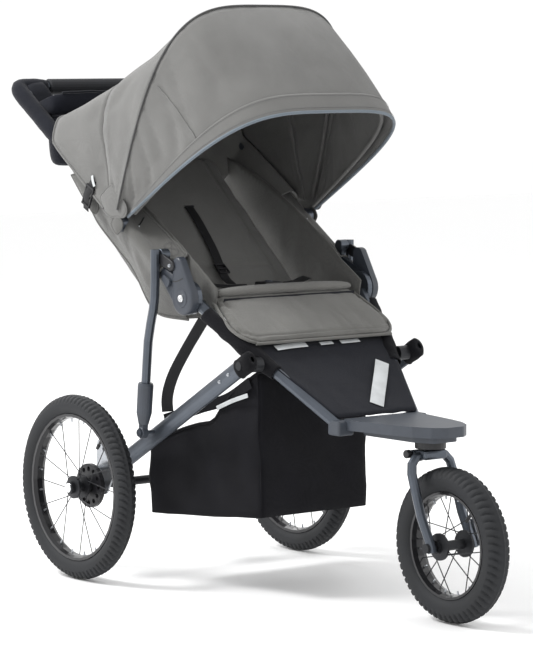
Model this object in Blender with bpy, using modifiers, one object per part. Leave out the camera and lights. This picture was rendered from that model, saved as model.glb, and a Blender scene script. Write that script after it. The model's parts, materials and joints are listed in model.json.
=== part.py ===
"""Three-wheeled jogging stroller, built as separate sub-parts at rest.

Metres, +Z up. The stroller faces -Y and is symmetric about X = 0, and its right side is at -X.
The origin is on the ground, in the middle of the stroller's length and width.
"""

import math

import bmesh
import bpy
from mathutils import Matrix, Vector

# Driving dimensions
REAR_TRACK = 0.5914
REAR_AXLE = (0.3304, 0.1965)
FRONT_AXLE = (-0.5304, 0.1544)
SWIVEL_Y = -0.465
REAR_TYRE = (0.1965, 0.0225)
FRONT_TYRE = (0.1544, 0.0270)
FOLD_PIVOT = (0.023, 0.615)
FRAME_HALF_WIDTH = 0.235
HANDLE_ANGLE = math.radians(33.7)
HANDLE_LENGTH = 0.760
FRONT_TUBE_END = (0.100, -0.300, 0.376)
LEG_TOP = (-0.168, 0.5005)
LEG_END = (0.312, 0.2246)
LEG_PIVOT = (-0.150, 0.490)
LEG_X = (0.212, 0.232)
LINK_BOTTOM = (0.145, 0.328)
LINK_TOP = (0.1005, 0.700)
LINK_X = 0.2585
LINK_LEAN = 5.7
CANOPY_PIVOT = (0.235, 0.757)
SEAT_BIGHT = (0.165, 0.585)
SEAT_BACK_ANGLE = math.radians(42.0)
TUBE_RADIUS = 0.0125
GAP = 0.0003
CLEARANCE = 0.0005
SIDES = {"r": -1, "l": 1}

MATERIALS = {
    "frame": ((0.13, 0.15, 0.18), 0.35, 0.7),
    "dark_metal": ((0.03, 0.03, 0.035), 0.4, 0.6),
    "silver": ((0.55, 0.57, 0.60), 0.3, 0.9),
    "chrome": ((0.80, 0.80, 0.82), 0.12, 1.0),
    "grey_plastic": ((0.10, 0.12, 0.15), 0.5, 0.0),
    "black_plastic": ((0.02, 0.02, 0.022), 0.5, 0.0),
    "foam": ((0.025, 0.03, 0.035), 0.8, 0.0),
    "tyre": ((0.022, 0.025, 0.03), 0.75, 0.0),
    "rim": ((0.015, 0.015, 0.017), 0.3, 0.5),
    "grey_fabric": ((0.28, 0.28, 0.27), 0.9, 0.0),
    "dark_fabric": ((0.035, 0.04, 0.045), 0.9, 0.0),
    "black_fabric": ((0.012, 0.012, 0.014), 0.85, 0.0),
}


def clear_scene():
    for obj in list(bpy.data.objects):
        bpy.data.objects.remove(obj, do_unlink=True)


def new_collection(name):
    collection = bpy.data.collections.new(name)
    bpy.context.scene.collection.children.link(collection)
    return collection


clear_scene()
PARTS = new_collection("jogging_stroller")
CUTTERS = new_collection("cutters")
CUTTERS.hide_render = True


# Shapes


def coloured(obj, slot):
    """Gives an object its own Principled material in one of the stroller's finishes."""
    colour, roughness, metallic = MATERIALS[slot]
    material = bpy.data.materials.new(obj.name)
    material.use_nodes = True
    shader = material.node_tree.nodes["Principled BSDF"]
    shader.inputs["Base Color"].default_value = (*colour, 1.0)
    shader.inputs["Roughness"].default_value = roughness
    shader.inputs["Metallic"].default_value = metallic
    obj.data.materials.clear()
    obj.data.materials.append(material)
    return obj


def added(name, data, slot):
    """A new object in the stroller's collection, or in the cutters' where it has no finish."""
    obj = bpy.data.objects.new(name, data)
    if slot is None:
        CUTTERS.objects.link(obj)
        obj.hide_render = True
        obj.display_type = "WIRE"
        return obj
    PARTS.objects.link(obj)
    return coloured(obj, slot)


def mesh_from(name, bm, slot):
    mesh = bpy.data.meshes.new(name)
    bm.to_mesh(mesh)
    bm.free()
    return added(name, mesh, slot)


def bevelled(obj, width, segments=2):
    bevel = obj.modifiers.new("Bevel", "BEVEL")
    bevel.width = width
    bevel.segments = segments
    return obj


def block(name, low, high, slot, bevel=0.0, segments=2):
    """A box between two corners, with rounded edges where a bevel width is given."""
    bm = bmesh.new()
    bmesh.ops.create_cube(bm, size=1.0)
    size = Vector(high) - Vector(low)
    bmesh.ops.scale(bm, vec=size, verts=bm.verts)
    obj = mesh_from(name, bm, slot)
    obj.location = (Vector(low) + Vector(high)) / 2
    return bevelled(obj, bevel, segments) if bevel else obj


def turned(name, profile, slot, closed=False, steps=24):
    """A profile of (radius, height) points, run down its outer side, turned about local Z."""
    mesh = bpy.data.meshes.new(name)
    points = [(radius, 0.0, height) for radius, height in profile]
    edges = [(i, i + 1) for i in range(len(points) - 1)]
    if closed:
        edges.append((len(points) - 1, 0))
    mesh.from_pydata(points, edges, [])
    obj = added(name, mesh, slot)
    screw = obj.modifiers.new("Screw", "SCREW")
    screw.steps = steps
    screw.render_steps = steps
    screw.use_merge_vertices = True
    screw.merge_threshold = 0.00001
    screw.use_smooth_shade = True
    return obj


def turned_x(name, side, centre, profile, slot, closed=False, steps=24):
    """A turned shape about the X direction through (y, z), with heights measured out from X = 0."""
    obj = turned(name, profile, slot, closed, steps)
    obj.rotation_euler = (0.0, side * math.pi / 2, 0.0)
    obj.location = (0.0, *centre)
    return obj


def disc_profile(radius, low, high, edge=0.001):
    """The outline of a solid disc with broken edges, from one height to another."""
    return [
        (0.0, high),
        (radius - edge, high),
        (radius, high - edge),
        (radius, low + edge),
        (radius - edge, low),
        (0.0, low),
    ]


def ring_profile(outer, inner, low, high, edge=0.001):
    return [
        (outer - edge, high),
        (outer, high - edge),
        (outer, low + edge),
        (outer - edge, low),
        (inner, low),
        (inner, high),
    ]


def tube(name, points, radius, slot, resolution=2):
    """A round tube through a list of points, with its ends closed."""
    curve = bpy.data.curves.new(name, "CURVE")
    curve.dimensions = "3D"
    curve.bevel_depth = radius
    curve.bevel_resolution = resolution
    curve.use_fill_caps = True
    spline = curve.splines.new("POLY")
    spline.points.add(len(points) - 1)
    for point, place in zip(spline.points, points):
        point.co = (*place, 1.0)
    return added(name, curve, slot)


def as_mesh(obj):
    """Turns a curve object into a mesh object of the same name, welded into one surface."""
    bpy.context.view_layer.update()
    graph = bpy.context.evaluated_depsgraph_get()
    mesh = bpy.data.meshes.new_from_object(obj.evaluated_get(graph))
    bm = bmesh.new()
    bm.from_mesh(mesh)
    bmesh.ops.remove_doubles(bm, verts=bm.verts, dist=0.00001)
    bmesh.ops.recalc_face_normals(bm, faces=bm.faces)
    bm.to_mesh(mesh)
    bm.free()
    made = bpy.data.objects.new("mesh", mesh)
    for collection in obj.users_collection:
        collection.objects.link(made)
    made.matrix_world = obj.matrix_world.copy()
    made.hide_render = obj.hide_render
    made.display_type = obj.display_type
    name = obj.name
    bpy.data.objects.remove(obj, do_unlink=True)
    made.name = name
    return made


def rounded(corners, radius, steps=3):
    """A closed outline with every corner replaced by an arc."""
    outline = []
    count = len(corners)
    for i, corner in enumerate(corners):
        here = Vector(corner)
        before = (Vector(corners[i - 1]) - here).normalized()
        after = (Vector(corners[(i + 1) % count]) - here).normalized()
        half = before.angle(after) / 2
        reach = radius / math.tan(half)
        centre = here + (before + after).normalized() * (radius / math.sin(half))
        start = here + before * reach - centre
        end = here + after * reach - centre
        for step in range(steps + 1):
            part = step / steps
            spoke = (start * (1 - part) + end * part).normalized() * radius
            outline.append(tuple(centre + spoke))
    return outline


def circle(centre, radius, count=12):
    turns = [2 * math.pi * i / count for i in range(count)]
    return [(centre[0] + radius * math.cos(a), centre[1] + radius * math.sin(a)) for a in turns]


def plate(name, outlines, low, high, slot, upright=True):
    """A flat piece: the first outline is its edge, the others are holes.

    Upright outlines are (y, z) and the plate runs between two X values.
    Other outlines are (x, y) and the plate runs between two Z values.
    """
    curve = bpy.data.curves.new(name, "CURVE")
    curve.dimensions = "2D"
    curve.fill_mode = "BOTH"
    curve.extrude = abs(high - low) / 2
    for outline in outlines:
        spline = curve.splines.new("POLY")
        spline.points.add(len(outline) - 1)
        spline.use_cyclic_u = True
        for point, place in zip(spline.points, outline):
            point.co = (*place, 0.0, 1.0)
    obj = added(name, curve, slot)
    middle = (low + high) / 2
    if upright:
        turn = Matrix(((0, 0, 1), (1, 0, 0), (0, 1, 0))).to_4x4()
        obj.matrix_world = Matrix.Translation((middle, 0, 0)) @ turn
    else:
        obj.location = (0.0, 0.0, middle)
    return obj


def boolean(obj, other, operation):
    modifier = obj.modifiers.new(operation.title(), "BOOLEAN")
    modifier.operation = operation
    modifier.solver = "EXACT"
    modifier.object = other
    modifier.use_self = operation == "UNION"
    return obj


def cutter_x(name, side, centre, radius, low, high):
    """A round cutter along X."""
    return turned_x(name, side, centre, disc_profile(radius, low, high, 0.0), None, steps=16)


def along_handle(distance, height=0.0):
    """(y, z) of a point so far up the handle tube from the fold pivot, and so far above it."""
    y = FOLD_PIVOT[0] + distance * math.cos(HANDLE_ANGLE) - height * math.sin(HANDLE_ANGLE)
    z = FOLD_PIVOT[1] + distance * math.sin(HANDLE_ANGLE) + height * math.cos(HANDLE_ANGLE)
    return y, z


# Wheels


def tyre(name, size, slot="tyre", steps=36):
    """A round-section tyre with a flat seat for the rim on its inner side."""
    radius, section = size
    seat = math.radians(140)
    angles = [seat - 2 * seat * i / 8 for i in range(9)]
    profile = [(radius - section + section * math.cos(a), section * math.sin(a)) for a in angles]
    return turned(name, profile, slot, closed=True, steps=steps)


def rim(name, size, depth, steps=36):
    radius, section = size
    seat = radius - section - section * math.cos(math.radians(40)) - 2 * GAP
    half = section * math.sin(math.radians(40))
    profile = [
        (seat, half),
        (seat, -half),
        (seat - depth * 0.6, -half),
        (seat - depth, -half * 0.45),
        (seat - depth, half * 0.45),
        (seat - depth * 0.6, half),
    ]
    return turned(name, profile, "rim", closed=True, steps=steps)


def spokes(name, hub_radius, flange, rim_radius, count, radius=0.0011):
    """Crossed wire spokes about local Z, from two hub flanges at +-flange to the rim."""
    bm = bmesh.new()
    lean = math.radians(38)
    for i in range(count):
        side = 1 if i % 2 else -1
        cross = lean if (i // 2) % 2 else -lean
        turn = 2 * math.pi * i / count
        leave = turn - cross
        start = Vector((math.cos(leave) * hub_radius, math.sin(leave) * hub_radius, side * flange))
        end = Vector((math.cos(turn) * rim_radius, math.sin(turn) * rim_radius, side * 0.003))
        rise = end - start
        place = Matrix.Translation((start + end) / 2) @ rise.to_track_quat("Z", "Y").to_matrix().to_4x4()
        bmesh.ops.create_cone(
            bm,
            cap_ends=True,
            segments=5,
            radius1=radius,
            radius2=radius,
            depth=rise.length,
            matrix=place,
        )
    return mesh_from(name, bm, None)


def place_wheel(obj, side, x, axle):
    obj.rotation_euler = (0.0, side * math.pi / 2, 0.0)
    obj.location = (side * x, *axle)
    return obj


def rear_hub_profile():
    """Outer side from the cap inwards, then the stepped bore back out; heights from the wheel's plane."""
    plane = REAR_TRACK / 2
    outer = [(0.0135, 0.3200), (0.0135, 0.3110), (0.0245, 0.3090), (0.0245, 0.3040)]
    waist = [(0.0110, 0.3010), (0.0110, 0.2870), (0.0245, 0.2850), (0.0245, 0.2815)]
    inner = [(0.0160, 0.2790), (0.0160, 0.2690), (0.0063, 0.2690)]
    bore = [(0.0063, 0.3125), (0.0110, 0.3125), (0.0110, 0.3200)]
    return [(radius, x - plane) for radius, x in outer + waist + inner + bore]


def rear_wheel(key, side):
    x = REAR_TRACK / 2
    place_wheel(tyre(f"rear_tyre_{key}", REAR_TYRE), side, x, REAR_AXLE)
    place_wheel(rim(f"rear_rim_{key}", REAR_TYRE, 0.010), side, x, REAR_AXLE)
    hub = turned(f"rear_hub_{key}", rear_hub_profile(), "dark_metal", closed=True, steps=20)
    wires = spokes(f"rear_spokes_{key}", 0.0215, 0.0122, 0.1450, 16)
    place_wheel(hub, side, x, REAR_AXLE)
    place_wheel(wires, side, x, REAR_AXLE)
    boolean(hub, wires, "UNION")
    turned_x(
        f"release_button_{key}",
        side,
        REAR_AXLE,
        disc_profile(0.0105, 0.3160, 0.3235, 0.0015),
        "chrome",
        steps=16,
    )
    holes = []
    for i in range(12):
        angle = math.pi / 2 + 2 * math.pi * i / 12
        centre = (REAR_AXLE[0] + 0.036 * math.cos(angle), REAR_AXLE[1] + 0.036 * math.sin(angle))
        holes.append(circle(centre, 0.0055, 8))
    outline = circle(REAR_AXLE, 0.047, 32)
    bore = circle(REAR_AXLE, 0.0070, 12)
    face = sorted((side * 0.2590, side * 0.2685))
    plate(f"brake_drum_{key}", [outline, bore, *holes], *face, "black_plastic")


def front_wheel():
    place_wheel(tyre("front_tyre", FRONT_TYRE), 1, 0.0, FRONT_AXLE)
    place_wheel(rim("front_rim", FRONT_TYRE, 0.0085), 1, 0.0, FRONT_AXLE)
    half = [(0.0130, 0.0425), (0.0130, 0.0370), (0.0270, 0.0350), (0.0270, 0.0300), (0.0100, 0.0270)]
    mirrored = [(radius, -height) for radius, height in reversed(half)]
    bore = [(0.0055, -0.0425), (0.0055, 0.0425)]
    hub = turned("front_hub", half + mirrored + bore, "dark_metal", closed=True, steps=20)
    wires = spokes("front_spokes", 0.0232, 0.0321, 0.0966, 16, 0.00115)
    place_wheel(hub, 1, 0.0, FRONT_AXLE)
    place_wheel(wires, 1, 0.0, FRONT_AXLE)
    boolean(hub, wires, "UNION")


# Front frame


def front_tubes():
    """The two front tubes, each with the inner disc of its fold hinge and a hole for the pivot bar."""
    end = Vector(FRONT_TUBE_END)
    start = Vector((FRAME_HALF_WIDTH, *FOLD_PIVOT))
    for key, side in SIDES.items():
        first = start.lerp(end, 0.045) - Vector((0.0125, 0.0, 0.0))
        second = start.lerp(end, 0.24) - Vector((0.004, 0.0, 0.0))
        points = [(side * p.x, p.y, p.z) for p in (first, second, end)]
        front = as_mesh(tube(f"front_tube_{key}", points, TUBE_RADIUS, "frame", resolution=3))
        profile = ring_profile(0.034, 0.0064, 0.2190, 0.2308)
        disc = turned_x(f"hinge_inner_{key}", side, FOLD_PIVOT, profile, None, closed=True)
        boolean(front, disc, "UNION")
        boolean(front, cutter_x(f"bar_hole_{key}", side, LEG_PIVOT, 0.0056, 0.135, 0.194), "DIFFERENCE")


def fold_hinges():
    """An outer disc and arm that carry the handle tube, and the rivet that holds each hinge."""
    for key, side in SIDES.items():
        faces = sorted((side * 0.2315, side * 0.2475))
        disc = circle(FOLD_PIVOT, 0.036, 28)
        corners = ((0.020, -0.017), (0.082, -0.014), (0.082, 0.014), (0.020, 0.017))
        reach = [along_handle(distance, height) for distance, height in corners]
        outer = as_mesh(plate(f"hinge_outer_{key}", [disc], *faces, "grey_plastic"))
        arm = as_mesh(plate(f"hinge_arm_{key}", [reach], *faces, None))
        boolean(outer, arm, "UNION")
        boolean(outer, cutter_x(f"hinge_bore_{key}", side, FOLD_PIVOT, 0.0064, 0.225, 0.252), "DIFFERENCE")
        rivet = [(0.0, 0.2505), (0.0080, 0.2505), (0.0110, 0.2490), (0.0110, 0.2479)]
        rivet += [(0.0060, 0.2479), (0.0060, 0.2192), (0.0, 0.2192)]
        turned_x(f"hinge_rivet_{key}", side, FOLD_PIVOT, rivet, "chrome", steps=20)


def footrest():
    """A rounded, stepped tread plate that also carries the steering head."""
    half = [(-0.100, -0.303), (-0.0765, -0.440), (-0.0650, -0.485), (-0.0460, -0.520), (-0.0220, -0.539)]
    upper = rounded(half + [(-x, y) for x, y in reversed(half)], 0.018, 5)
    low_half = [(-0.056, -0.316), (-0.050, -0.470), (-0.0300, -0.512)]
    lower = rounded(low_half + [(-x, y) for x, y in reversed(low_half)], 0.016, 5)
    top = as_mesh(plate("footrest", [upper], 0.367, 0.388, "grey_plastic", upright=False))
    step = as_mesh(plate("footrest_step", [lower], 0.3545, 0.372, None, upright=False))
    boolean(top, step, "UNION")
    for key, side in SIDES.items():
        ear = block(
            f"footrest_ear_{key}",
            (side * 0.096 - 0.020, -0.322, 0.3560),
            (side * 0.096 + 0.020, -0.286, 0.3865),
            None,
            0.004,
        )
        boolean(top, ear, "UNION")
    start = Vector((FRAME_HALF_WIDTH, *FOLD_PIVOT))
    end = Vector(FRONT_TUBE_END)
    for key, side in SIDES.items():
        mid = start.lerp(end, 0.5)
        far = start.lerp(end, 1.04)
        points = [(side * mid.x, mid.y, mid.z), (side * far.x, far.y, far.z)]
        socket = as_mesh(tube(f"footrest_socket_{key}", points, TUBE_RADIUS + CLEARANCE, None, resolution=3))
        boolean(top, socket, "DIFFERENCE")
    coloured(top, "grey_plastic")


def steering():
    """The steering head under the footrest, and the fork that swivels in it."""
    head = turned("steering_head", ring_profile(0.031, 0.0105, 0.3390, 0.3535), "black_plastic", closed=True)
    head.location = (0.0, SWIVEL_Y, 0.0)
    low, high = (-0.030, SWIVEL_Y - 0.020, 0.3180), (0.030, SWIVEL_Y + 0.020, 0.3370)
    fork = block("fork", low, high, "frame", 0.006)
    stem = turned("fork_stem", disc_profile(0.0100, 0.3300, 0.3520), None, steps=16)
    stem.location = (0.0, SWIVEL_Y, 0.0)
    boolean(fork, stem, "UNION")
    lock = (SWIVEL_Y + 0.0175, 0.3290)
    boss = turned_x("fork_lock_boss", -1, lock, disc_profile(0.0075, 0.0200, 0.0340), None, steps=16)
    boolean(fork, boss, "UNION")
    axle_y, axle_z = FRONT_AXLE
    for key, side in SIDES.items():
        x = side * 0.0530
        route = [
            (x * 0.30, SWIVEL_Y, 0.3265),
            (x * 0.72, SWIVEL_Y, 0.3230),
            (x * 0.93, SWIVEL_Y - 0.002, 0.3110),
            (x, SWIVEL_Y - 0.006, 0.2930),
            (x, SWIVEL_Y - 0.017, 0.2600),
            (x, SWIVEL_Y - 0.034, 0.2120),
            (x, axle_y, axle_z),
            (x, axle_y - 0.003, axle_z - 0.010),
        ]
        leg = as_mesh(tube(f"fork_leg_{key}", route, 0.0095, None, resolution=3))
        boolean(fork, leg, "UNION")
    for key, side in SIDES.items():
        boolean(fork, cutter_x(f"fork_bore_{key}", side, FRONT_AXLE, 0.0054, 0.030, 0.080), "DIFFERENCE")
    turned_x(
        "front_axle",
        1,
        FRONT_AXLE,
        [
            (0.0, 0.0640),
            (0.0050, 0.0640),
            (0.0050, -0.0632),
            (0.0095, -0.0632),
            (0.0095, -0.0700),
            (0.0, -0.0700),
        ],
        "dark_metal",
        steps=16,
    )
    turned_x(
        "swivel_lock",
        -1,
        lock,
        [(0.0, 0.0495), (0.0075, 0.0495), (0.0085, 0.0480), (0.0085, 0.0400), (0.0045, 0.0395)]
        + [(0.0045, 0.0350), (0.0, 0.0350)],
        "black_plastic",
        steps=16,
    )


def release_lever():
    """The cam lever of the front quick release, closed along the fork's left leg."""
    lever = block("release_lever", (0.0645, -0.0075, -0.0090), (0.0725, 0.0075, 0.0480), "silver", 0.003)
    lever.rotation_euler = (math.radians(-20), 0.0, 0.0)
    centre = Vector((0.0685, 0.0, 0.0195))
    lever.location = Vector((0.0, *FRONT_AXLE)) + Matrix.Rotation(math.radians(-20), 3, "X") @ centre


# Handle frame


def push_bar():
    """The U-shaped handle tube, its grip, and the brackets on its side tubes."""
    start = along_handle(0.0832)
    bend = along_handle(HANDLE_LENGTH - 0.070)
    top = along_handle(HANDLE_LENGTH)
    x = FRAME_HALF_WIDTH
    corner = 0.060
    half = [(x, *start), (x - 0.006, *bend)]
    for i in range(1, 5):
        angle = i / 5 * math.pi / 2
        across = x - 0.006 - corner * (1 - math.cos(angle))
        y = bend[0] + (top[0] - bend[0]) * math.sin(angle)
        z = bend[1] + (top[1] - bend[1]) * math.sin(angle)
        half.append((across, y, z))
    half.append((x - 0.006 - corner, *top))
    points = half + [(-px, py, pz) for px, py, pz in reversed(half)]
    bar = as_mesh(tube("push_bar", points, TUBE_RADIUS, "frame", resolution=3))
    for key, side in SIDES.items():
        brackets(bar, key, side)
    turned_x(
        "handle_grip",
        1,
        top,
        ring_profile(0.0178, TUBE_RADIUS + 2 * GAP, -0.150, 0.150, 0.003),
        "foam",
        closed=True,
        steps=20,
    )


def brackets(bar, key, side):
    """The lug that holds a link's upper end and the canopy's pivot boss, joined to the push bar."""
    y, z = LINK_TOP
    base = [along_handle(0.120, -0.004), along_handle(0.086, -0.004)]
    web = [*base, (y - 0.011, z - 0.002), (y - 0.004, z + 0.009), (y + 0.009, z + 0.005)]
    lug = as_mesh(plate(f"link_web_{key}", [web], *sorted((side * 0.2300, side * 0.2420)), None))
    boss = turned_x(f"link_boss_{key}", side, LINK_TOP, disc_profile(0.0120, 0.2270, 0.2480), None, steps=20)
    outline = disc_profile(0.0170, 0.2380, 0.2560, 0.002)
    pivot = turned_x(f"canopy_pivot_{key}", side, CANOPY_PIVOT, outline, None, steps=20)
    for piece in (lug, boss, pivot):
        boolean(bar, piece, "UNION")


def fold_latches():
    """The sliding latch plate on each hinge arm."""
    outline = ((0.047, -0.009), (0.073, -0.007), (0.073, 0.007), (0.047, 0.009))
    corners = [along_handle(distance, height) for distance, height in outline]
    for key, side in SIDES.items():
        faces = sorted((side * 0.2479, side * 0.2525))
        plate(f"fold_latch_{key}", [rounded(corners, 0.004)], *faces, "grey_plastic")


def organiser():
    """A soft console hung between the handle tubes, with two cup pouches sunk through its floor."""
    front, back, floor, rim_height, half = 0.522, 0.608, 0.968, 0.034, 0.204
    bm = bmesh.new()
    rows = []
    for y, low, rise in ((front, floor, rim_height), (back, floor + 0.020, rim_height + 0.004)):
        corners = ((-half, low + rise), (-half, low), (half, low), (half, low + rise))
        rows.append([bm.verts.new((x, y, z)) for x, z in corners])
    for i in range(3):
        bm.faces.new((rows[0][i], rows[0][i + 1], rows[1][i + 1], rows[1][i]))
    bm.faces.new(rows[0])
    bm.faces.new(rows[1])
    bmesh.ops.recalc_face_normals(bm, faces=bm.faces)
    tray = mesh_from("organiser", bm, "black_fabric")
    shell = tray.modifiers.new("Solidify", "SOLIDIFY")
    shell.thickness = 0.004
    shell.offset = 0.0
    for key, side in SIDES.items():
        place = (side * 0.158, 0.567, 0.0)
        hole = turned(f"cup_hole_{key}", disc_profile(0.0360, 0.9500, 1.0300, 0.0), None, steps=20)
        hole.location = place
        cup = [(0.0395, 0.9940), (0.0320, 0.8860), (0.0, 0.8860), (0.0, 0.8900)]
        cup += [(0.0290, 0.8900), (0.0355, 0.9940)]
        pouch = turned(f"cup_pouch_{key}", cup, None, closed=True, steps=20)
        pouch.location = place
        boolean(tray, hole, "DIFFERENCE")
        boolean(tray, pouch, "UNION")


# Rear frame


def flat_oval(name, start, end, depth, x_range, slot):
    """A flat-oval tube in an upright plane, its section deeper than it is wide."""
    run = Vector((end[0] - start[0], end[1] - start[1]))
    half = depth / 2
    bm = bmesh.new()
    bmesh.ops.create_cone(
        bm,
        cap_ends=True,
        segments=16,
        radius1=half,
        radius2=half,
        depth=run.length,
    )
    bmesh.ops.scale(bm, vec=((x_range[1] - x_range[0]) / depth, 1.0, 1.0), verts=bm.verts)
    obj = mesh_from(name, bm, slot)
    angle = math.atan2(run.y, run.x)
    obj.rotation_euler = (angle - math.pi / 2, 0.0, 0.0)
    middle = (Vector(start) + Vector(end)) / 2
    obj.location = ((x_range[0] + x_range[1]) / 2, *middle)
    return obj


def rear_legs():
    """The rear legs, each with the pin its link turns on, and the bar across the frame they fold on."""
    for key, side in SIDES.items():
        span = sorted((side * LEG_X[0], side * LEG_X[1]))
        leg = flat_oval(f"rear_leg_{key}", LEG_TOP, LEG_END, 0.036, span, "frame")
        pin = [(0.0, 0.2700), (0.0080, 0.2700), (0.0080, 0.2672), (0.0040, 0.2672)]
        pin += [(0.0040, 0.2250), (0.0, 0.2250)]
        boolean(leg, turned_x(f"link_pin_{key}", side, LINK_BOTTOM, pin, None, steps=16), "UNION")
        boolean(leg, cutter_x(f"leg_bore_{key}", side, LEG_PIVOT, 0.0054, 0.200, 0.240), "DIFFERENCE")
    half = [(0.0090, 0.2355), (0.0090, 0.2325), (0.0050, 0.2325), (0.0050, 0.2110)]
    half += [(0.0150, 0.2110), (0.0150, 0.1800), (0.0050, 0.1800)]
    other = [(radius, -x) for radius, x in reversed(half)]
    bar = [(0.0, 0.2355), *half, *other, (0.0, -0.2355)]
    turned_x("leg_pivot_bar", 1, LEG_PIVOT, bar, "dark_metal", steps=16)


def axle():
    """The rear axle tube, an end plate with a stub axle on each side, and the parking brake."""
    tube("rear_axle", [(-0.2095, *REAR_AXLE), (0.2095, *REAR_AXLE)], 0.0095, "dark_metal", resolution=4)
    y, z = REAR_AXLE
    low = [(y - 0.020, z - 0.020), (y + 0.018, z - 0.018), (y + 0.012, z + 0.098)]
    outline = rounded([*low, (y - 0.072, z + 0.085), (y - 0.060, z + 0.045)], 0.009)
    holes = [circle((y, z + 0.036), 0.0047, 10)]
    holes += [circle((y - 0.012, z + 0.078), 0.0055, 10), circle((y - 0.042, z + 0.066), 0.0055, 10)]
    for key, side in SIDES.items():
        faces = sorted((side * 0.2335, side * 0.2375))
        end = as_mesh(plate(f"axle_plate_{key}", [outline, *holes], *faces, "silver"))
        profile = disc_profile(0.0060, 0.2350, 0.3120)
        boolean(end, turned_x(f"stub_{key}", side, REAR_AXLE, profile, None, steps=16), "UNION")
        profile = disc_profile(0.0042, 0.2330, 0.2570, 0.0005)
        turned_x(f"brake_pin_{key}", side, (y, z + 0.036), profile, "silver", steps=12)
    collar = ring_profile(0.0145, 0.0100, -0.050, 0.050)
    pedal = turned_x("brake_pedal", 1, REAR_AXLE, collar, "black_plastic", closed=True, steps=20)
    tread = block("brake_tread", (-0.050, y + 0.011, z + 0.001), (0.050, y + 0.060, z + 0.011), None, 0.003)
    boolean(pedal, tread, "UNION")


def links():
    """A sprung strut on each side: a sleeve pinned to the rear leg, and a bent tube that slides in it."""
    bottom = Vector(LINK_BOTTOM)
    lean = math.radians(LINK_LEAN)
    for key, side in SIDES.items():
        outline = [(0.0150, 0.1050), (0.0165, 0.1000), (0.0160, 0.0420), (0.0105, 0.0180), (0.0, 0.0160)]
        outline += [(0.0, 0.0440), (0.0099, 0.0440), (0.0099, 0.1050)]
        sleeve = turned(f"shock_sleeve_{key}", outline, "grey_plastic", closed=True, steps=20)
        sleeve.rotation_euler = (lean, 0.0, 0.0)
        sleeve.location = (side * LINK_X, *LINK_BOTTOM)
        profile = disc_profile(0.0115, 0.2515, 0.2660)
        eye = turned_x(f"shock_eye_{key}", side, LINK_BOTTOM, profile, None, steps=20)
        neck = block(f"shock_neck_{key}", (-0.0065, -0.0075, 0.0), (0.0065, 0.0075, 0.0300), None)
        neck.rotation_euler = (lean, 0.0, 0.0)
        turn = Matrix.Rotation(lean, 3, "X")
        neck.location = Vector((side * LINK_X, *LINK_BOTTOM)) + turn @ Vector((0.0, 0.0, 0.0150))
        boolean(sleeve, neck, "UNION")
        boolean(sleeve, eye, "UNION")
        boolean(sleeve, cutter_x(f"shock_bore_{key}", side, LINK_BOTTOM, 0.0044, 0.245, 0.275), "DIFFERENCE")
        up = Vector((-math.sin(lean), math.cos(lean)))
        route = [tuple(bottom + up * reach) for reach in (0.0640, 0.1500)]
        route += [(0.1255, 0.520), (0.1165, 0.556), (0.1068, 0.588), (0.1020, 0.614), (0.1005, 0.648)]
        route += [(LINK_TOP[0], LINK_TOP[1] + 0.0110)]
        points = [(side * LINK_X, *place) for place in route]
        tube(f"link_tube_{key}", points, 0.0095, "frame", resolution=3)


# Soft goods


def arch(angle, height, half_width, squareness, count):
    """A canopy hoop in the half-plane at this angle about the canopy pivots: points (x, y, z)."""
    points = []
    for i in range(count + 1):
        turn = math.pi * (0.022 + 0.956 * i / count)
        x = -half_width * math.copysign(abs(math.cos(turn)) ** (2 / squareness), math.cos(turn))
        points.append((x, height * math.sin(turn) ** (2 / squareness)))
    ends = [(-half_width, 0.030), *points, (half_width, 0.030)]
    y, z = CANOPY_PIVOT
    return [(x, y + r * math.cos(angle), z + r * math.sin(angle)) for x, r in ends]


def fabric_shell(name, hoops, thickness, slot):
    """A closed shell lofted between hoops of the same number of points."""
    bm = bmesh.new()
    rows = [[bm.verts.new(point) for point in hoop] for hoop in hoops]
    for first, second in zip(rows, rows[1:]):
        for i in range(len(first) - 1):
            bm.faces.new((first[i], first[i + 1], second[i + 1], second[i]))
    obj = mesh_from(name, bm, slot)
    shell = obj.modifiers.new("Solidify", "SOLIDIFY")
    shell.thickness = thickness
    shell.offset = 0.0
    return obj


def between(first, second, part, bulge=0.0):
    """A hoop part of the way between two others, pushed away from the pivot line by a share."""
    middle = []
    for a, b in zip(first, second):
        point = Vector(a).lerp(Vector(b), part)
        out = Vector((0.0, point.y - CANOPY_PIVOT[0], point.z - CANOPY_PIVOT[1]))
        middle.append(tuple(point + out * bulge))
    return middle


def canopy():
    """Three fabric panels: a flat rear pair that meets at mid length, and a rounded front one."""
    count = 22
    rear = arch(math.radians(41), 0.338, 0.2560, 6.0, count)
    middle = arch(math.radians(110), 0.480, 0.2640, 4.2, count)
    front = arch(math.radians(149), 0.463, 0.2520, 4.6, count)
    fabric_shell("canopy_rear", [rear, between(rear, middle, 0.496)], 0.003, "grey_fabric")
    halves = [between(rear, middle, part) for part in (0.504, 0.990)]
    fabric_shell("canopy_middle", halves, 0.003, "grey_fabric")
    rows = [between(middle, front, part, bulge) for part, bulge in ((0.01, 0.0), (0.5, 0.035), (1.0, 0.0))]
    fabric_shell("canopy_front", rows, 0.003, "grey_fabric")


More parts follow.
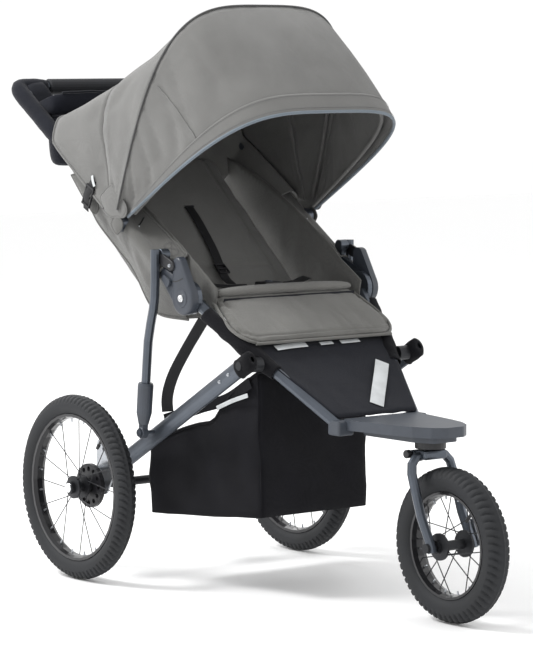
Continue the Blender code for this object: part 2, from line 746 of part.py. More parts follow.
def seat():
    """The seat pad with its rolled front edge, the reclining back, and the fabric sides."""
    pad = block("seat_base", (-0.165, -0.010, 0.5725), (0.165, 0.125, 0.6220), "dark_fabric", 0.010)
    roll = as_mesh(tube("seat_roll", [(-0.156, 0.0040, 0.6290), (0.156, 0.0040, 0.6290)], 0.015, None, 4))
    boolean(pad, roll, "UNION")
    length = 0.430
    slab = block("seat_back", (-0.178, 0.0, 0.0), (0.178, 0.034, length), "dark_fabric", 0.010)
    tilt = SEAT_BACK_ANGLE - math.pi / 2
    slab.rotation_euler = (tilt, 0.0, 0.0)
    offset = Matrix.Rotation(tilt, 3, "X") @ Vector((0.0, -0.017, length / 2))
    slab.location = Vector((0.0, *SEAT_BIGHT)) + offset
    for key, side in SIDES.items():
        strap = block(f"shoulder_strap_{key}", (-0.019, -0.002, 0.0), (0.019, 0.002, 0.300), None)
        strap.rotation_euler = (tilt, 0.0, 0.0)
        strap.location = seat_point(side * 0.085, 0.215, 0.0012)
        boolean(slab, strap, "UNION")
    low = [(0.005, 0.573), (0.148, 0.566), (0.392, 0.763), (0.488, 0.853)]
    outline = rounded([*low, (0.455, 0.905), (0.190, 0.800), (-0.045, 0.648)], 0.008, 2)
    for key, side in SIDES.items():
        plate(f"seat_side_{key}", [outline], *sorted((side * 0.1860, side * 0.1940)), "grey_fabric")


def sling_panel(name, top, bottom, thickness, slot):
    """A flat closed panel between two level edges, each given as half width, y and z."""
    bm = bmesh.new()
    corners = [(-top[0], *top[1:]), (top[0], *top[1:]), (bottom[0], *bottom[1:]), (-bottom[0], *bottom[1:])]
    bm.faces.new([bm.verts.new(corner) for corner in corners])
    obj = mesh_from(name, bm, slot)
    shell = obj.modifiers.new("Solidify", "SOLIDIFY")
    shell.thickness = thickness
    shell.offset = 0.0
    return obj


def front_panels():
    sling_panel("leg_flap", (0.178, -0.016, 0.6040), (0.194, -0.137, 0.5330), 0.014, "grey_fabric")
    sling_panel("calf_panel", (0.148, -0.122, 0.5200), (0.084, -0.283, 0.4110), 0.005, "dark_fabric")


def basket():
    """An open-topped bag slung between the rear legs."""
    front_half, rear_half = 0.150, 0.196
    front_low, front_top = (-0.108, 0.168), (-0.104, 0.440)
    rear_low, rear_top = (0.215, 0.147), (0.208, 0.286)
    bm = bmesh.new()
    ends = []
    for half, low, top in ((front_half, front_low, front_top), (rear_half, rear_low, rear_top)):
        places = ((-half, *top), (-half, *low), (half, *low), (half, *top))
        ends.append([bm.verts.new(place) for place in places])
    front, rear = ends
    for i in range(3):
        bm.faces.new((front[i], front[i + 1], rear[i + 1], rear[i]))
    bm.faces.new(reversed(front))
    bm.faces.new(rear)
    bmesh.ops.recalc_face_normals(bm, faces=bm.faces)
    obj = mesh_from("basket", bm, "black_fabric")
    shell = obj.modifiers.new("Solidify", "SOLIDIFY")
    shell.thickness = 0.003
    shell.offset = 0.0


def seat_point(x, up, out):
    """A point this far up the seat back from its bight, and this far in front of its face."""
    direction = Vector((math.cos(SEAT_BACK_ANGLE), math.sin(SEAT_BACK_ANGLE)))
    normal = Vector((-direction.y, direction.x))
    place = Vector(SEAT_BIGHT) + direction * up + normal * (0.034 + out)
    return (x, *place)


def harness():
    """The crotch buckle on the seat pad, and its release button in a pocket."""
    place = (0.0, 0.052, 0.0)
    buckle = block("harness_buckle", (-0.024, 0.032, 0.6226), (0.024, 0.072, 0.6360), "black_plastic", 0.004)
    pocket = turned("buckle_pocket", disc_profile(0.0090, 0.6312, 0.6500, 0.0), None, steps=16)
    pocket.location = place
    boolean(buckle, pocket, "DIFFERENCE")
    button = turned("buckle_button", disc_profile(0.0085, 0.6345, 0.6385), "grey_plastic", steps=16)
    button.location = place


def tether_strap():
    """A webbing strap that hangs from the seat's underside to the right rear leg."""
    route = [(-0.203, 0.030, 0.568), (-0.206, 0.075, 0.500), (-0.212, 0.108, 0.440)]
    route += [(-0.219, 0.122, 0.400), (-0.222, 0.128, 0.366)]
    tube("tether_strap", route, 0.0040, "black_fabric", resolution=1)


front_tubes()
fold_hinges()
footrest()
steering()
release_lever()
push_bar()
fold_latches()
organiser()
rear_legs()
axle()
links()
for wheel_key, wheel_side in SIDES.items():
    rear_wheel(wheel_key, wheel_side)
front_wheel()
canopy()
seat()
front_panels()
basket()
harness()
tether_strap()
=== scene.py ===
"""Looks for the jogging stroller: fabric, webbing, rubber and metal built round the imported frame."""

import json
import math

import bmesh
import bpy
from mathutils import Matrix, Vector, noise


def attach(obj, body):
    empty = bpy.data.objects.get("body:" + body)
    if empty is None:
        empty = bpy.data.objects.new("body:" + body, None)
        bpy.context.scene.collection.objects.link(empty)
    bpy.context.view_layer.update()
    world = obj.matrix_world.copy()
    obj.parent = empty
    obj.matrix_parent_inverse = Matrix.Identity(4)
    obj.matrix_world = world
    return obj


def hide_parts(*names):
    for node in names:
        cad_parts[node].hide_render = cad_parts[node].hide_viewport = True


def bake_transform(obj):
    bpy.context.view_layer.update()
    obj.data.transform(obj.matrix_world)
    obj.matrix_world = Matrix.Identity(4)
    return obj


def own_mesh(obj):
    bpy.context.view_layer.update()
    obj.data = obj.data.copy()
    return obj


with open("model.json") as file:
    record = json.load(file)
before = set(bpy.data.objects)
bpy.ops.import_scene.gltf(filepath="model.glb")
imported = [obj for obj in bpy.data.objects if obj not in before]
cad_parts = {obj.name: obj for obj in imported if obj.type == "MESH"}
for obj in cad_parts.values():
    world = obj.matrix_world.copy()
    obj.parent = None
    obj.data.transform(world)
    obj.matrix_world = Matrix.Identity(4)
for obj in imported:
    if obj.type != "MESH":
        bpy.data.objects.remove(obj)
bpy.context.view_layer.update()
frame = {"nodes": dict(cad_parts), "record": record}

RIGHT, LEFT = -1, 1
SIDES = {"r": RIGHT, "l": LEFT}

# Places in the frame, in metres (y, z): -y is forward and the stroller's right is at -x
FOLD_PIVOT = (0.023, 0.615)
HANDLE_ANGLE = math.radians(33.7)
CANOPY_PIVOT = (0.235, 0.757)
REAR_AXLE = (0.3304, 0.1965)
FRONT_AXLE = (-0.5304, 0.1544)
LEG_PIVOT = (-0.150, 0.490)
WHEEL_X = 0.2957
FRONT_TUBE_END = (0.100, -0.300, 0.376)
SEAT_BIGHT = (0.165, 0.585)
HANDLE_NORMAL = (0.0, -0.5548, 0.8320)
HANDLE_X, HANDLE_RADIUS = 0.235, 0.0150
STRAP_EDGE = 0.0006
STITCH_RADIUS = 0.0004
VALVE_TURN = 2.25
# A bolt's profile: radius as a share of its size, and height in metres
BOLT = ((0.001, 0.0010), (0.42, 0.0010), (0.42, 0.0030), (0.80, 0.0028))
BOLT += ((1.0, 0.0012), (1.0, 0.0004), (1.28, 0.0004), (1.28, -0.0006))
SEAT_BACK_ANGLE = math.radians(42.0)


# Camera, light and floor


def camera():
    data = bpy.data.cameras.new("camera")
    data.sensor_width = 36.0
    data.sensor_fit = "VERTICAL"
    data.sensor_height = 36.0
    data.lens = 166.9
    data.clip_end = 60.0
    obj = bpy.data.objects.new("camera", data)
    obj.location = (-3.854, -4.885, 1.129)
    obj.rotation_euler = (math.radians(90 - 5.305), 0.0, math.radians(-37.932))
    bpy.context.scene.collection.objects.link(obj)
    bpy.context.scene.camera = obj


def area_light(name, place, target, size, power):
    data = bpy.data.lights.new(name, "AREA")
    data.shape = "RECTANGLE"
    data.size, data.size_y = size
    data.energy = power
    obj = bpy.data.objects.new(name, data)
    obj.location = place
    aim = Vector(target) - Vector(place)
    obj.rotation_euler = aim.to_track_quat("-Z", "Y").to_euler()
    bpy.context.scene.collection.objects.link(obj)


def studio():
    world = bpy.data.worlds.new("studio")
    world.use_nodes = True
    background = world.node_tree.nodes["Background"]
    background.inputs["Color"].default_value = (1.0, 1.0, 1.0, 1.0)
    background.inputs["Strength"].default_value = 1.02
    bpy.context.scene.world = world
    area_light("key", (-2.4, 1.6, 3.6), (0.0, 0.0, 0.6), (1.2, 1.2), 150.0)
    area_light("side", (3.2, -2.4, 1.8), (0.0, 0.0, 0.6), (1.6, 2.6), 14.0)
    area_light("back", (0.5, 3.4, 2.6), (0.0, 0.0, 0.7), (2.6, 1.6), 40.0)
    bpy.context.scene.view_settings.view_transform = "Standard"
    bpy.context.scene.view_settings.look = "None"


def floor():
    bm = bmesh.new()
    bmesh.ops.create_grid(bm, x_segments=1, y_segments=1, size=12.0)
    mesh = bpy.data.meshes.new("floor")
    bm.to_mesh(mesh)
    bm.free()
    obj = bpy.data.objects.new("floor", mesh)
    bpy.context.scene.collection.objects.link(obj)
    material = bpy.data.materials.new("floor")
    material.use_nodes = True
    shader = material.node_tree.nodes["Principled BSDF"]
    shader.inputs["Base Color"].default_value = (0.97, 0.97, 0.97, 1.0)
    shader.inputs["Roughness"].default_value = 0.55
    mesh.materials.append(material)


# Materials


class Nodes:
    """A material's node tree, built in object space."""

    def __init__(self, name):
        self.material = bpy.data.materials.new(name)
        self.material.use_nodes = True
        self.tree = self.material.node_tree
        self.shader = self.tree.nodes["Principled BSDF"]
        self.place = self.add("ShaderNodeTexCoord").outputs["Object"]

    def add(self, kind, inputs=None, **settings):
        node = self.tree.nodes.new(kind)
        for key, value in settings.items():
            setattr(node, key, value)
        self.fill(node, inputs or {})
        return node

    def fill(self, node, inputs):
        """Sets a node's inputs to constants, or joins them to other nodes' outputs."""
        for key, value in inputs.items():
            if isinstance(value, bpy.types.NodeSocket):
                self.tree.links.new(value, node.inputs[key])
            else:
                node.inputs[key].default_value = value

    def surface(self, **inputs):
        """Fills the shader's own inputs, named with underscores for spaces."""
        self.fill(self.shader, {key.replace("_", " "): value for key, value in inputs.items()})

    def noise(self, scale, detail):
        inputs = {"Vector": self.place, "Scale": scale, "Detail": detail, "Roughness": 0.55}
        return self.add("ShaderNodeTexNoise", inputs).outputs["Fac"]

    def ramp(self, source, low, first, high, second):
        node = self.add("ShaderNodeValToRGB", {"Fac": source})
        for element, place, colour in zip(node.color_ramp.elements, (low, high), (first, second)):
            element.position = place
            element.color = colour
        return node.outputs["Color"]

    def math(self, operation, first, second):
        return self.add("ShaderNodeMath", {0: first, 1: second}, operation=operation).outputs["Value"]

    def mixed(self, share, first, second, mode="MIX"):
        inputs = {0: share, 6: first, 7: second}
        return self.add("ShaderNodeMix", inputs, data_type="RGBA", blend_type=mode).outputs[2]

    def wave(self, direction, scale):
        inputs = {"Vector": self.place, "Scale": scale}
        node = self.add("ShaderNodeTexWave", inputs, wave_type="BANDS", bands_direction=direction)
        return node.outputs["Fac"]

    def bump(self, source, strength, distance):
        inputs = {"Strength": strength, "Distance": distance, "Height": source}
        self.surface(Normal=self.add("ShaderNodeBump", inputs).outputs["Normal"])

    def roughness(self, source, low, high):
        inputs = {"Value": source, "To Min": low, "To Max": high}
        self.surface(Roughness=self.add("ShaderNodeMapRange", inputs).outputs["Result"])


def shade(colour, factor):
    return (*(channel * factor for channel in colour), 1.0)


def grey(level):
    return (level, level, level, 1.0)


def fabric(name, colour, pitch=0.0009, sheen=0.25, depth=0.00025, blotch=0.10):
    """A plain weave: crossed threads at a real pitch, with faint blotches and a soft sheen."""
    n = Nodes(name)
    across, along, deep = (n.wave(direction, 0.5 / pitch) for direction in "XZY")
    weave = n.math("MULTIPLY", n.math("ADD", across, deep), n.math("ADD", along, 0.35))
    blotches = n.noise(9.0, 4.0)
    fine = n.noise(900.0, 2.0)
    base = n.ramp(blotches, 0.3, shade(colour, 1.0 - blotch), 0.7, shade(colour, 1.0 + blotch))
    threads = n.ramp(weave, 0.0, grey(0.72), 0.6, grey(1.08))
    specks = n.ramp(fine, 0.3, grey(0.90), 0.7, grey(1.08))
    tinted = n.mixed(0.55, base, threads, "MULTIPLY")
    n.surface(Base_Color=n.mixed(0.6, tinted, specks, "MULTIPLY"), Sheen_Weight=sheen)
    n.surface(Sheen_Roughness=0.45, Specular_IOR_Level=0.2)
    n.roughness(fine, 0.80, 0.95)
    n.bump(n.math("ADD", weave, n.math("MULTIPLY", fine, 0.6)), 0.5, depth)
    return n.material


def metal(name, colour, roughness=0.35, metallic=0.8, flake=0.12, coat=0.0):
    n = Nodes(name)
    smudge = n.noise(22.0, 5.0)
    grain = n.noise(1400.0, 2.0)
    base = n.ramp(smudge, 0.3, shade(colour, 0.90), 0.7, shade(colour, 1.08))
    specks = n.ramp(grain, 0.3, grey(1.0 - flake), 0.7, grey(1.0 + flake))
    n.surface(Base_Color=n.mixed(1.0, base, specks, "MULTIPLY"), Metallic=metallic, Coat_Weight=coat)
    n.roughness(smudge, roughness * 0.85, roughness * 1.2)
    n.bump(grain, 0.15, 0.00005)
    return n.material


def plastic(name, colour, roughness=0.5):
    n = Nodes(name)
    cloud = n.noise(30.0, 4.0)
    grain = n.noise(1800.0, 3.0)
    n.surface(Base_Color=n.ramp(cloud, 0.3, shade(colour, 0.88), 0.7, shade(colour, 1.12)))
    n.roughness(n.mixed(0.5, cloud, grain), roughness * 0.85, roughness * 1.15)
    n.bump(grain, 0.35, 0.00008)
    return n.material


def rubber(name, colour):
    n = Nodes(name)
    dust = n.noise(14.0, 6.0)
    n.surface(Base_Color=n.ramp(dust, 0.35, shade(colour, 0.85), 0.7, shade(colour, 1.35)))
    n.roughness(dust, 0.62, 0.82)
    n.bump(n.noise(700.0, 3.0), 0.3, 0.0001)
    return n.material


def foam(name, colour):
    n = Nodes(name)
    cells = n.add("ShaderNodeTexVoronoi", {"Scale": 900.0, "Vector": n.place})
    cloud = n.noise(25.0, 3.0)
    n.surface(Base_Color=n.ramp(cloud, 0.3, shade(colour, 0.85), 0.7, shade(colour, 1.2)))
    n.roughness(cloud, 0.7, 0.85)
    n.bump(cells.outputs["Distance"], 0.5, 0.0002)
    return n.material


def webbing(name, colour):
    """Ribbed strap webbing."""
    n = Nodes(name)
    ribs = n.math("ADD", n.wave("X", 420.0), n.wave("Z", 300.0))
    fuzz = n.noise(1100.0, 2.0)
    n.surface(Base_Color=n.ramp(ribs, 0.4, shade(colour, 0.7), 1.0, shade(colour, 1.3)))
    n.roughness(fuzz, 0.65, 0.85)
    n.bump(n.math("ADD", ribs, fuzz), 0.5, 0.0002)
    return n.material


MAT = {
    "canopy": fabric("canopy_cloth", (0.150, 0.149, 0.144)),
    "canopy_inner": fabric("canopy_lining", (0.140, 0.139, 0.135)),
    "seat": fabric("seat_cloth", (0.158, 0.157, 0.151)),
    "flap": fabric("flap_cloth", (0.150, 0.148, 0.139)),
    "side": fabric("side_cloth", (0.108, 0.107, 0.102)),
    "dark": fabric("dark_cloth", (0.012, 0.013, 0.017), sheen=0.06),
    "black": fabric("black_cloth", (0.0045, 0.0045, 0.0065), sheen=0.04, blotch=0.3),
    "mesh": fabric("calf_mesh_cloth", (0.010, 0.011, 0.016), pitch=0.0022, sheen=0.06, depth=0.0006),
    "binding": fabric("binding_tape", (0.16, 0.19, 0.22), pitch=0.0006),
    "console": fabric("console_cloth", (0.007, 0.008, 0.013), pitch=0.0014, sheen=0.08, blotch=0.2),
    "casing": plastic("hinge_moulding", (0.034, 0.040, 0.052), 0.42),
    "piping": fabric("piping_cloth", (0.085, 0.085, 0.085), pitch=0.0006),
    "dark_thread": plastic("dark_stitch_thread", (0.07, 0.07, 0.075), 0.8),
    "reflect": plastic("reflective_tape", (0.55, 0.57, 0.58), 0.35),
    "frame": metal("frame_paint", (0.082, 0.094, 0.114), 0.36, 0.75, coat=0.2),
    "dark_metal": metal("black_metal", (0.022, 0.023, 0.026), 0.42, 0.6),
    "silver": metal("silver_metal", (0.52, 0.54, 0.57), 0.30, 0.95),
    "chrome": metal("polished_metal", (0.78, 0.79, 0.80), 0.12, 1.0, flake=0.03),
    "grey_plastic": plastic("grey_moulding", (0.040, 0.047, 0.060), 0.45),
    "black_plastic": plastic("black_moulding", (0.009, 0.009, 0.011), 0.42),
    "foam": foam("grip_foam", (0.010, 0.011, 0.014)),
    "tyre": rubber("tyre_rubber", (0.008, 0.009, 0.011)),
    "rim": metal("rim_paint", (0.012, 0.012, 0.014), 0.28, 0.5, coat=0.4),
    "webbing": webbing("strap_webbing", (0.0050, 0.0050, 0.0065)),
}

# Slots whose nodes take a look of another name
SLOT_LOOKS = {"grey_fabric": "side", "dark_fabric": "dark", "black_fabric": "black"}


def dress_nodes():
    """Every carried-over CAD node takes the look of its record slot."""
    for row in frame["record"]["subparts"]:
        node = frame["nodes"][row["node"]]
        slot = row["material_slot"]
        node.data.materials.clear()
        node.data.materials.append(MAT[SLOT_LOOKS.get(slot, slot)])
        for polygon in node.data.polygons:
            polygon.material_index = 0
        node.data.shade_smooth()
        node.data.set_sharp_from_angle(angle=math.radians(32))
    soften = bevel(frame["nodes"]["footrest"], 0.0055, 4)
    soften.limit_method = "ANGLE"
    soften.angle_limit = math.radians(28)


# Mesh helpers


def from_bmesh(name, bm, look, smooth=True, angle=None):
    bmesh.ops.recalc_face_normals(bm, faces=bm.faces)
    mesh = bpy.data.meshes.new(name)
    bm.to_mesh(mesh)
    bm.free()
    obj = bpy.data.objects.new(name, mesh)
    bpy.context.scene.collection.objects.link(obj)
    mesh.materials.append(MAT[look])
    if smooth:
        mesh.shade_smooth()
    if angle is not None:
        mesh.set_sharp_from_angle(angle=math.radians(angle))
    return obj


def loft(bm, rings, closed=True, around=False):
    """Quads between one ring of points and the next; around also joins the last ring to the first."""
    made = [[bm.verts.new(point) for point in ring] for ring in rings]
    for first, second in zip(made, made[1:] + (made[:1] if around else [])):
        for i in range(len(first) if closed else len(first) - 1):
            j = (i + 1) % len(first)
            bm.faces.new((first[i], first[j], second[j], second[i]))
    return made


def grid_sheet(name, rows, look, closed=False):
    bm = bmesh.new()
    loft(bm, rows, closed)
    return from_bmesh(name, bm, look)


def capped(bm, rings):
    made = loft(bm, rings)
    bm.faces.new(made[0])
    bm.faces.new(made[-1])


def tube(name, rings, look, angle=None, around=False):
    """A solid through rings of points: capped at its ends, or going all the way around."""
    bm = bmesh.new()
    if around:
        loft(bm, rings, around=True)
    else:
        capped(bm, rings)
    return from_bmesh(name, bm, look, angle=angle)


def circle(sides):
    """The cosine and sine of each turn round a circle."""
    turns = [2 * math.pi * k / sides for k in range(sides)]
    return [(math.cos(turn), math.sin(turn)) for turn in turns]


def thicken(obj, thickness, offset):
    shell = obj.modifiers.new("Solidify", "SOLIDIFY")
    shell.thickness = thickness
    shell.offset = offset
    applied(obj)


def bevel(obj, width, segments=2):
    modifier = obj.modifiers.new("Bevel", "BEVEL")
    modifier.width = width
    modifier.segments = segments
    return modifier


def dress(piece, body):
    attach(piece, body)
    return piece


def fold_flat(piece):
    """Gives an upper-frame piece a mesh of its own."""
    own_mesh(piece)


def stretch_with_legs(piece):
    """Bakes a basket piece's place into its mesh."""
    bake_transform(piece)


def applied(obj):
    """Replaces an object's mesh by what its modifiers make, with none left on it."""
    bpy.context.view_layer.update()
    graph = bpy.context.evaluated_depsgraph_get()
    mesh = bpy.data.meshes.new_from_object(obj.evaluated_get(graph))
    obj.modifiers.clear()
    obj.data = mesh


def neighbours(path, closed=False):
    """Each point of a path between the one before it and the one after it."""
    if closed:
        return zip(path[-1:] + path[:-1], path, path[1:] + path[:1])
    return zip(path[:1] + path[:-1], path, path[1:] + path[-1:])


def path_frames(points, up=(0.0, 0.0, 1.0)):
    """Each point of a path, with a direction to its side and one upwards."""
    frames = []
    for before, point, after in neighbours(points):
        tangent = (after - before).normalized()
        side = tangent.cross(Vector(up)).normalized()
        frames.append((point, side, side.cross(tangent).normalized()))
    return frames


def smooth_path(points, count):
    """Points evenly placed on a Catmull-Rom curve through the given ones."""
    source = [Vector(p) for p in points]
    padded = [source[0] * 2 - source[1], *source, source[-1] * 2 - source[-2]]
    dense = []
    for a, b, c, d in zip(padded, padded[1:], padded[2:], padded[3:]):
        for step in range(16):
            t = step / 16
            square = (2 * a - 5 * b + 4 * c - d) * t * t
            cube = (3 * b - a - 3 * c + d) * t * t * t
            dense.append(0.5 * (2 * b + (c - a) * t + square + cube))
    dense.append(source[-1])
    lengths = [0.0]
    for a, b in zip(dense, dense[1:]):
        lengths.append(lengths[-1] + (b - a).length)
    result = []
    j = 0
    for i in range(count):
        goal = lengths[-1] * i / (count - 1)
        while j < len(lengths) - 2 and lengths[j + 1] < goal:
            j += 1
        span = lengths[j + 1] - lengths[j]
        share = (goal - lengths[j]) / span if span else 0.0
        result.append(dense[j].lerp(dense[j + 1], min(max(share, 0.0), 1.0)))
    return result


def strap(name, points, width, thickness, look, side=(1, 0, 0), count=24):
    """A flat strap along a path, lying with its width along a side direction."""
    half, thin = width / 2, thickness / 2
    flat = half - STRAP_EDGE
    outline = ((-flat, -thin), (flat, -thin), (half, 0.0), (flat, thin), (-flat, thin), (-half, 0.0))
    rings = []
    for before, point, after in neighbours(smooth_path(points, count)):
        tangent = (after - before).normalized()
        across = Vector(side)
        across = (across - tangent * across.dot(tangent)).normalized()
        normal = tangent.cross(across)
        rings.append([point + across * x + normal * y for x, y in outline])
    return tube(name, rings, look, angle=50)


def cable(name, points, radius, look, count=None, sides=8, closed=False):
    """A round tube along a path, with closed ends."""
    path = smooth_path(points, count) if count else [Vector(p) for p in points]
    rings = []
    side = None
    for before, point, after in neighbours(path, closed):
        tangent = (after - before).normalized()
        if side is None:
            side = tangent.orthogonal().normalized()
        side = (side - tangent * side.dot(tangent)).normalized()
        up = tangent.cross(side)
        rings.append([point + side * c * radius + up * s * radius for c, s in circle(sides)])
    return tube(name, rings, look, angle=60, around=closed)


def cone(bm, place, direction, base, tip, length, sides):
    """Adds a capped cone, centred on a place and lying along a direction."""
    pose = Matrix.Translation(place) @ direction.to_track_quat("Z", "Y").to_matrix().to_4x4()
    size = {"radius1": base, "radius2": tip, "depth": length}
    bmesh.ops.create_cone(bm, cap_ends=True, segments=sides, matrix=pose, **size)


def stitches(name, points, pitch, length):
    """A row of separate stitches along a path of points, each a small bar."""
    path = smooth_path(points, max(4, len(points) * 3))
    total = sum((b - a).length for a, b in zip(path, path[1:]))
    count = max(2, int(total / pitch))
    spots = smooth_path(path, count * 2)
    bm = bmesh.new()
    for start, end in list(zip(spots[::2], spots[1::2]))[:-1]:
        if (end - start).length > 1e-6:
            cone(bm, (start + end) / 2, end - start, STITCH_RADIUS, STITCH_RADIUS, length, 5)
    return from_bmesh(name, bm, "dark_thread")


def revolve(name, profile, look, steps, centre, side):
    """A profile of (radius, x) turned about the X direction through a centre (y, z)."""
    y, z = centre
    bm = bmesh.new()
    loft(bm, [[(side * x, y + r * c, z + r * s) for r, x in profile] for c, s in circle(steps)], around=True)
    bmesh.ops.remove_doubles(bm, verts=bm.verts, dist=1e-6)
    return from_bmesh(name, bm, look, angle=35)


def subdivided(obj):
    obj.modifiers.new("Subdivision", "SUBSURF").render_levels = 1


def along_handle(distance, height=0.0):
    y = FOLD_PIVOT[0] + distance * math.cos(HANDLE_ANGLE) - height * math.sin(HANDLE_ANGLE)
    z = FOLD_PIVOT[1] + distance * math.sin(HANDLE_ANGLE) + height * math.cos(HANDLE_ANGLE)
    return y, z


def smoothstep(value):
    value = min(max(value, 0.0), 1.0)
    return value * value * (3 - 2 * value)


# Canopy


def hoop(angle, top, half, power, count, low=0.040, side_angle=None):
    """Evenly spaced points of a canopy hoop, in the half-plane at this angle about the pivots.

    With a side angle, the straight sides of the hoop swing to that angle and its top stays where it is.
    """
    dense = []
    for i in range(401):
        turn = math.pi * (1 - math.cos(math.pi * i / 400)) / 2
        x = -half * math.copysign(abs(math.cos(turn)) ** (2 / power), math.cos(turn))
        r = top * abs(math.sin(turn)) ** (2 / power)
        if r >= low:
            dense.append((x, r))
    lengths = [0.0]
    for a, b in zip(dense, dense[1:]):
        lengths.append(lengths[-1] + math.dist(a, b))
    points = []
    j = 0
    y, z = CANOPY_PIVOT
    for i in range(count):
        goal = lengths[-1] * i / (count - 1)
        while j < len(lengths) - 2 and lengths[j + 1] < goal:
            j += 1
        share = (goal - lengths[j]) / (lengths[j + 1] - lengths[j])
        x = dense[j][0] + (dense[j + 1][0] - dense[j][0]) * share
        r = dense[j][1] + (dense[j + 1][1] - dense[j][1]) * share
        turn = angle
        if side_angle is not None:
            turn += (side_angle - angle) * smoothstep((top - 0.012 - r) / 0.040)
        way = math.radians(turn)
        points.append(Vector((x, y + r * math.cos(way), z + r * math.sin(way))))
    return points


CANOPY_COLUMNS = 121
REAR_ANGLE, MID_ANGLE, FRONT_ANGLE = 41.0, 110.0, 149.0
REAR_HOOP = hoop(REAR_ANGLE, 0.340, 0.261, 11.0, CANOPY_COLUMNS, low=0.030, side_angle=34.5)
MID_HOOP = hoop(MID_ANGLE, 0.4815, 0.2655, 3.7, CANOPY_COLUMNS, low=0.030)


def front_hoop(angle, lift=0.0):
    part = (angle - MID_ANGLE) / (FRONT_ANGLE - MID_ANGLE)
    bulge = -0.014 * math.sin(math.pi * part)
    top = 0.4815 - 0.0165 * part + bulge + lift
    half = 0.2655 - 0.0145 * part + lift + 0.3 * bulge
    low = 0.030 - 0.010 * math.sin(math.pi * min(part * 1.05, 1.0))
    return hoop(angle, top, half, 3.7 + 0.3 * part, CANOPY_COLUMNS, low=max(low, 0.014))


def canopy_sheet(name, rows, body, field):
    """One fabric panel with its lining, moved off its smooth shape by a field of folds."""
    obj = grid_sheet(name, rows, "canopy")
    columns = len(rows[0])
    mesh = obj.data
    centre = Vector((0.0, *CANOPY_PIVOT))
    middle = mesh.polygons[len(mesh.polygons) // 2]
    if middle.normal.dot(middle.center - centre) < 0:
        mesh.flip_normals()
    normals = [v.normal.copy() for v in mesh.vertices]
    for vertex, normal in zip(mesh.vertices, normals):
        row, column = divmod(vertex.index, columns)
        share = column / (columns - 1)
        vertex.co += normal * field(row / (len(rows) - 1), share)
    mesh.materials.append(MAT["canopy_inner"])
    shell = obj.modifiers.new("Solidify", "SOLIDIFY")
    shell.thickness = 0.0016
    shell.offset = -1.0
    shell.material_offset = 1
    applied(obj)
    dress(obj, body)
    return obj


def ridge(value, sharp=0.55):
    """A noise value turned into narrow valleys, from 0 in a valley to 1."""
    return min(abs(value) * 2.6, 1.0) ** sharp


def front_folds(row, share):
    """Long slack folds from the middle hoop to the front hem, deepest on the sides."""
    side = abs(share - 0.5) * 2
    fade = math.sin(math.pi * min(max(row * 0.97 + 0.015, 0.0), 1.0)) ** 0.55
    reach = smoothstep((side - 0.05) / 0.50) * smoothstep((1.03 - side) / 0.16)
    drift = 1.6 * row * (1 if share < 0.5 else -1)
    long = ridge(noise.noise(Vector((share * 21.0 + drift, row * 0.9, 6.1))))
    short = ridge(noise.noise(Vector((share * 46.0 + drift * 2.0, row * 2.1, 2.7))))
    broad = noise.noise(Vector((share * 11.0, row * 1.6, 1.7)))
    depth = 0.0070 * (long - 1.0) * reach + 0.0028 * (short - 1.0) * reach * row
    return fade * (depth + 0.0022 * (long - 1.0) * (1 - reach) + 0.0045 * broad)


def rear_folds(row, share):
    """Shallow slack folds near the rear corners, and a slight sag between the hoops."""
    side = abs(share - 0.5) * 2
    sag = -0.005 * math.sin(math.pi * row)
    broad = noise.noise(Vector((share * 7.0, row * 5.0, 4.1)))
    fine = ridge(noise.noise(Vector((share * 13.0 + row * 4.0, row * 3.5 - share * 4.0, 8.3)))) - 1.0
    reach = smoothstep((side - 0.1) / 0.5) * smoothstep((1.02 - side) / 0.2)
    edge = math.sin(math.pi * min(max(row, 0.0), 1.0)) ** 0.5
    return sag + edge * (0.0040 * broad + 0.0048 * fine * reach)


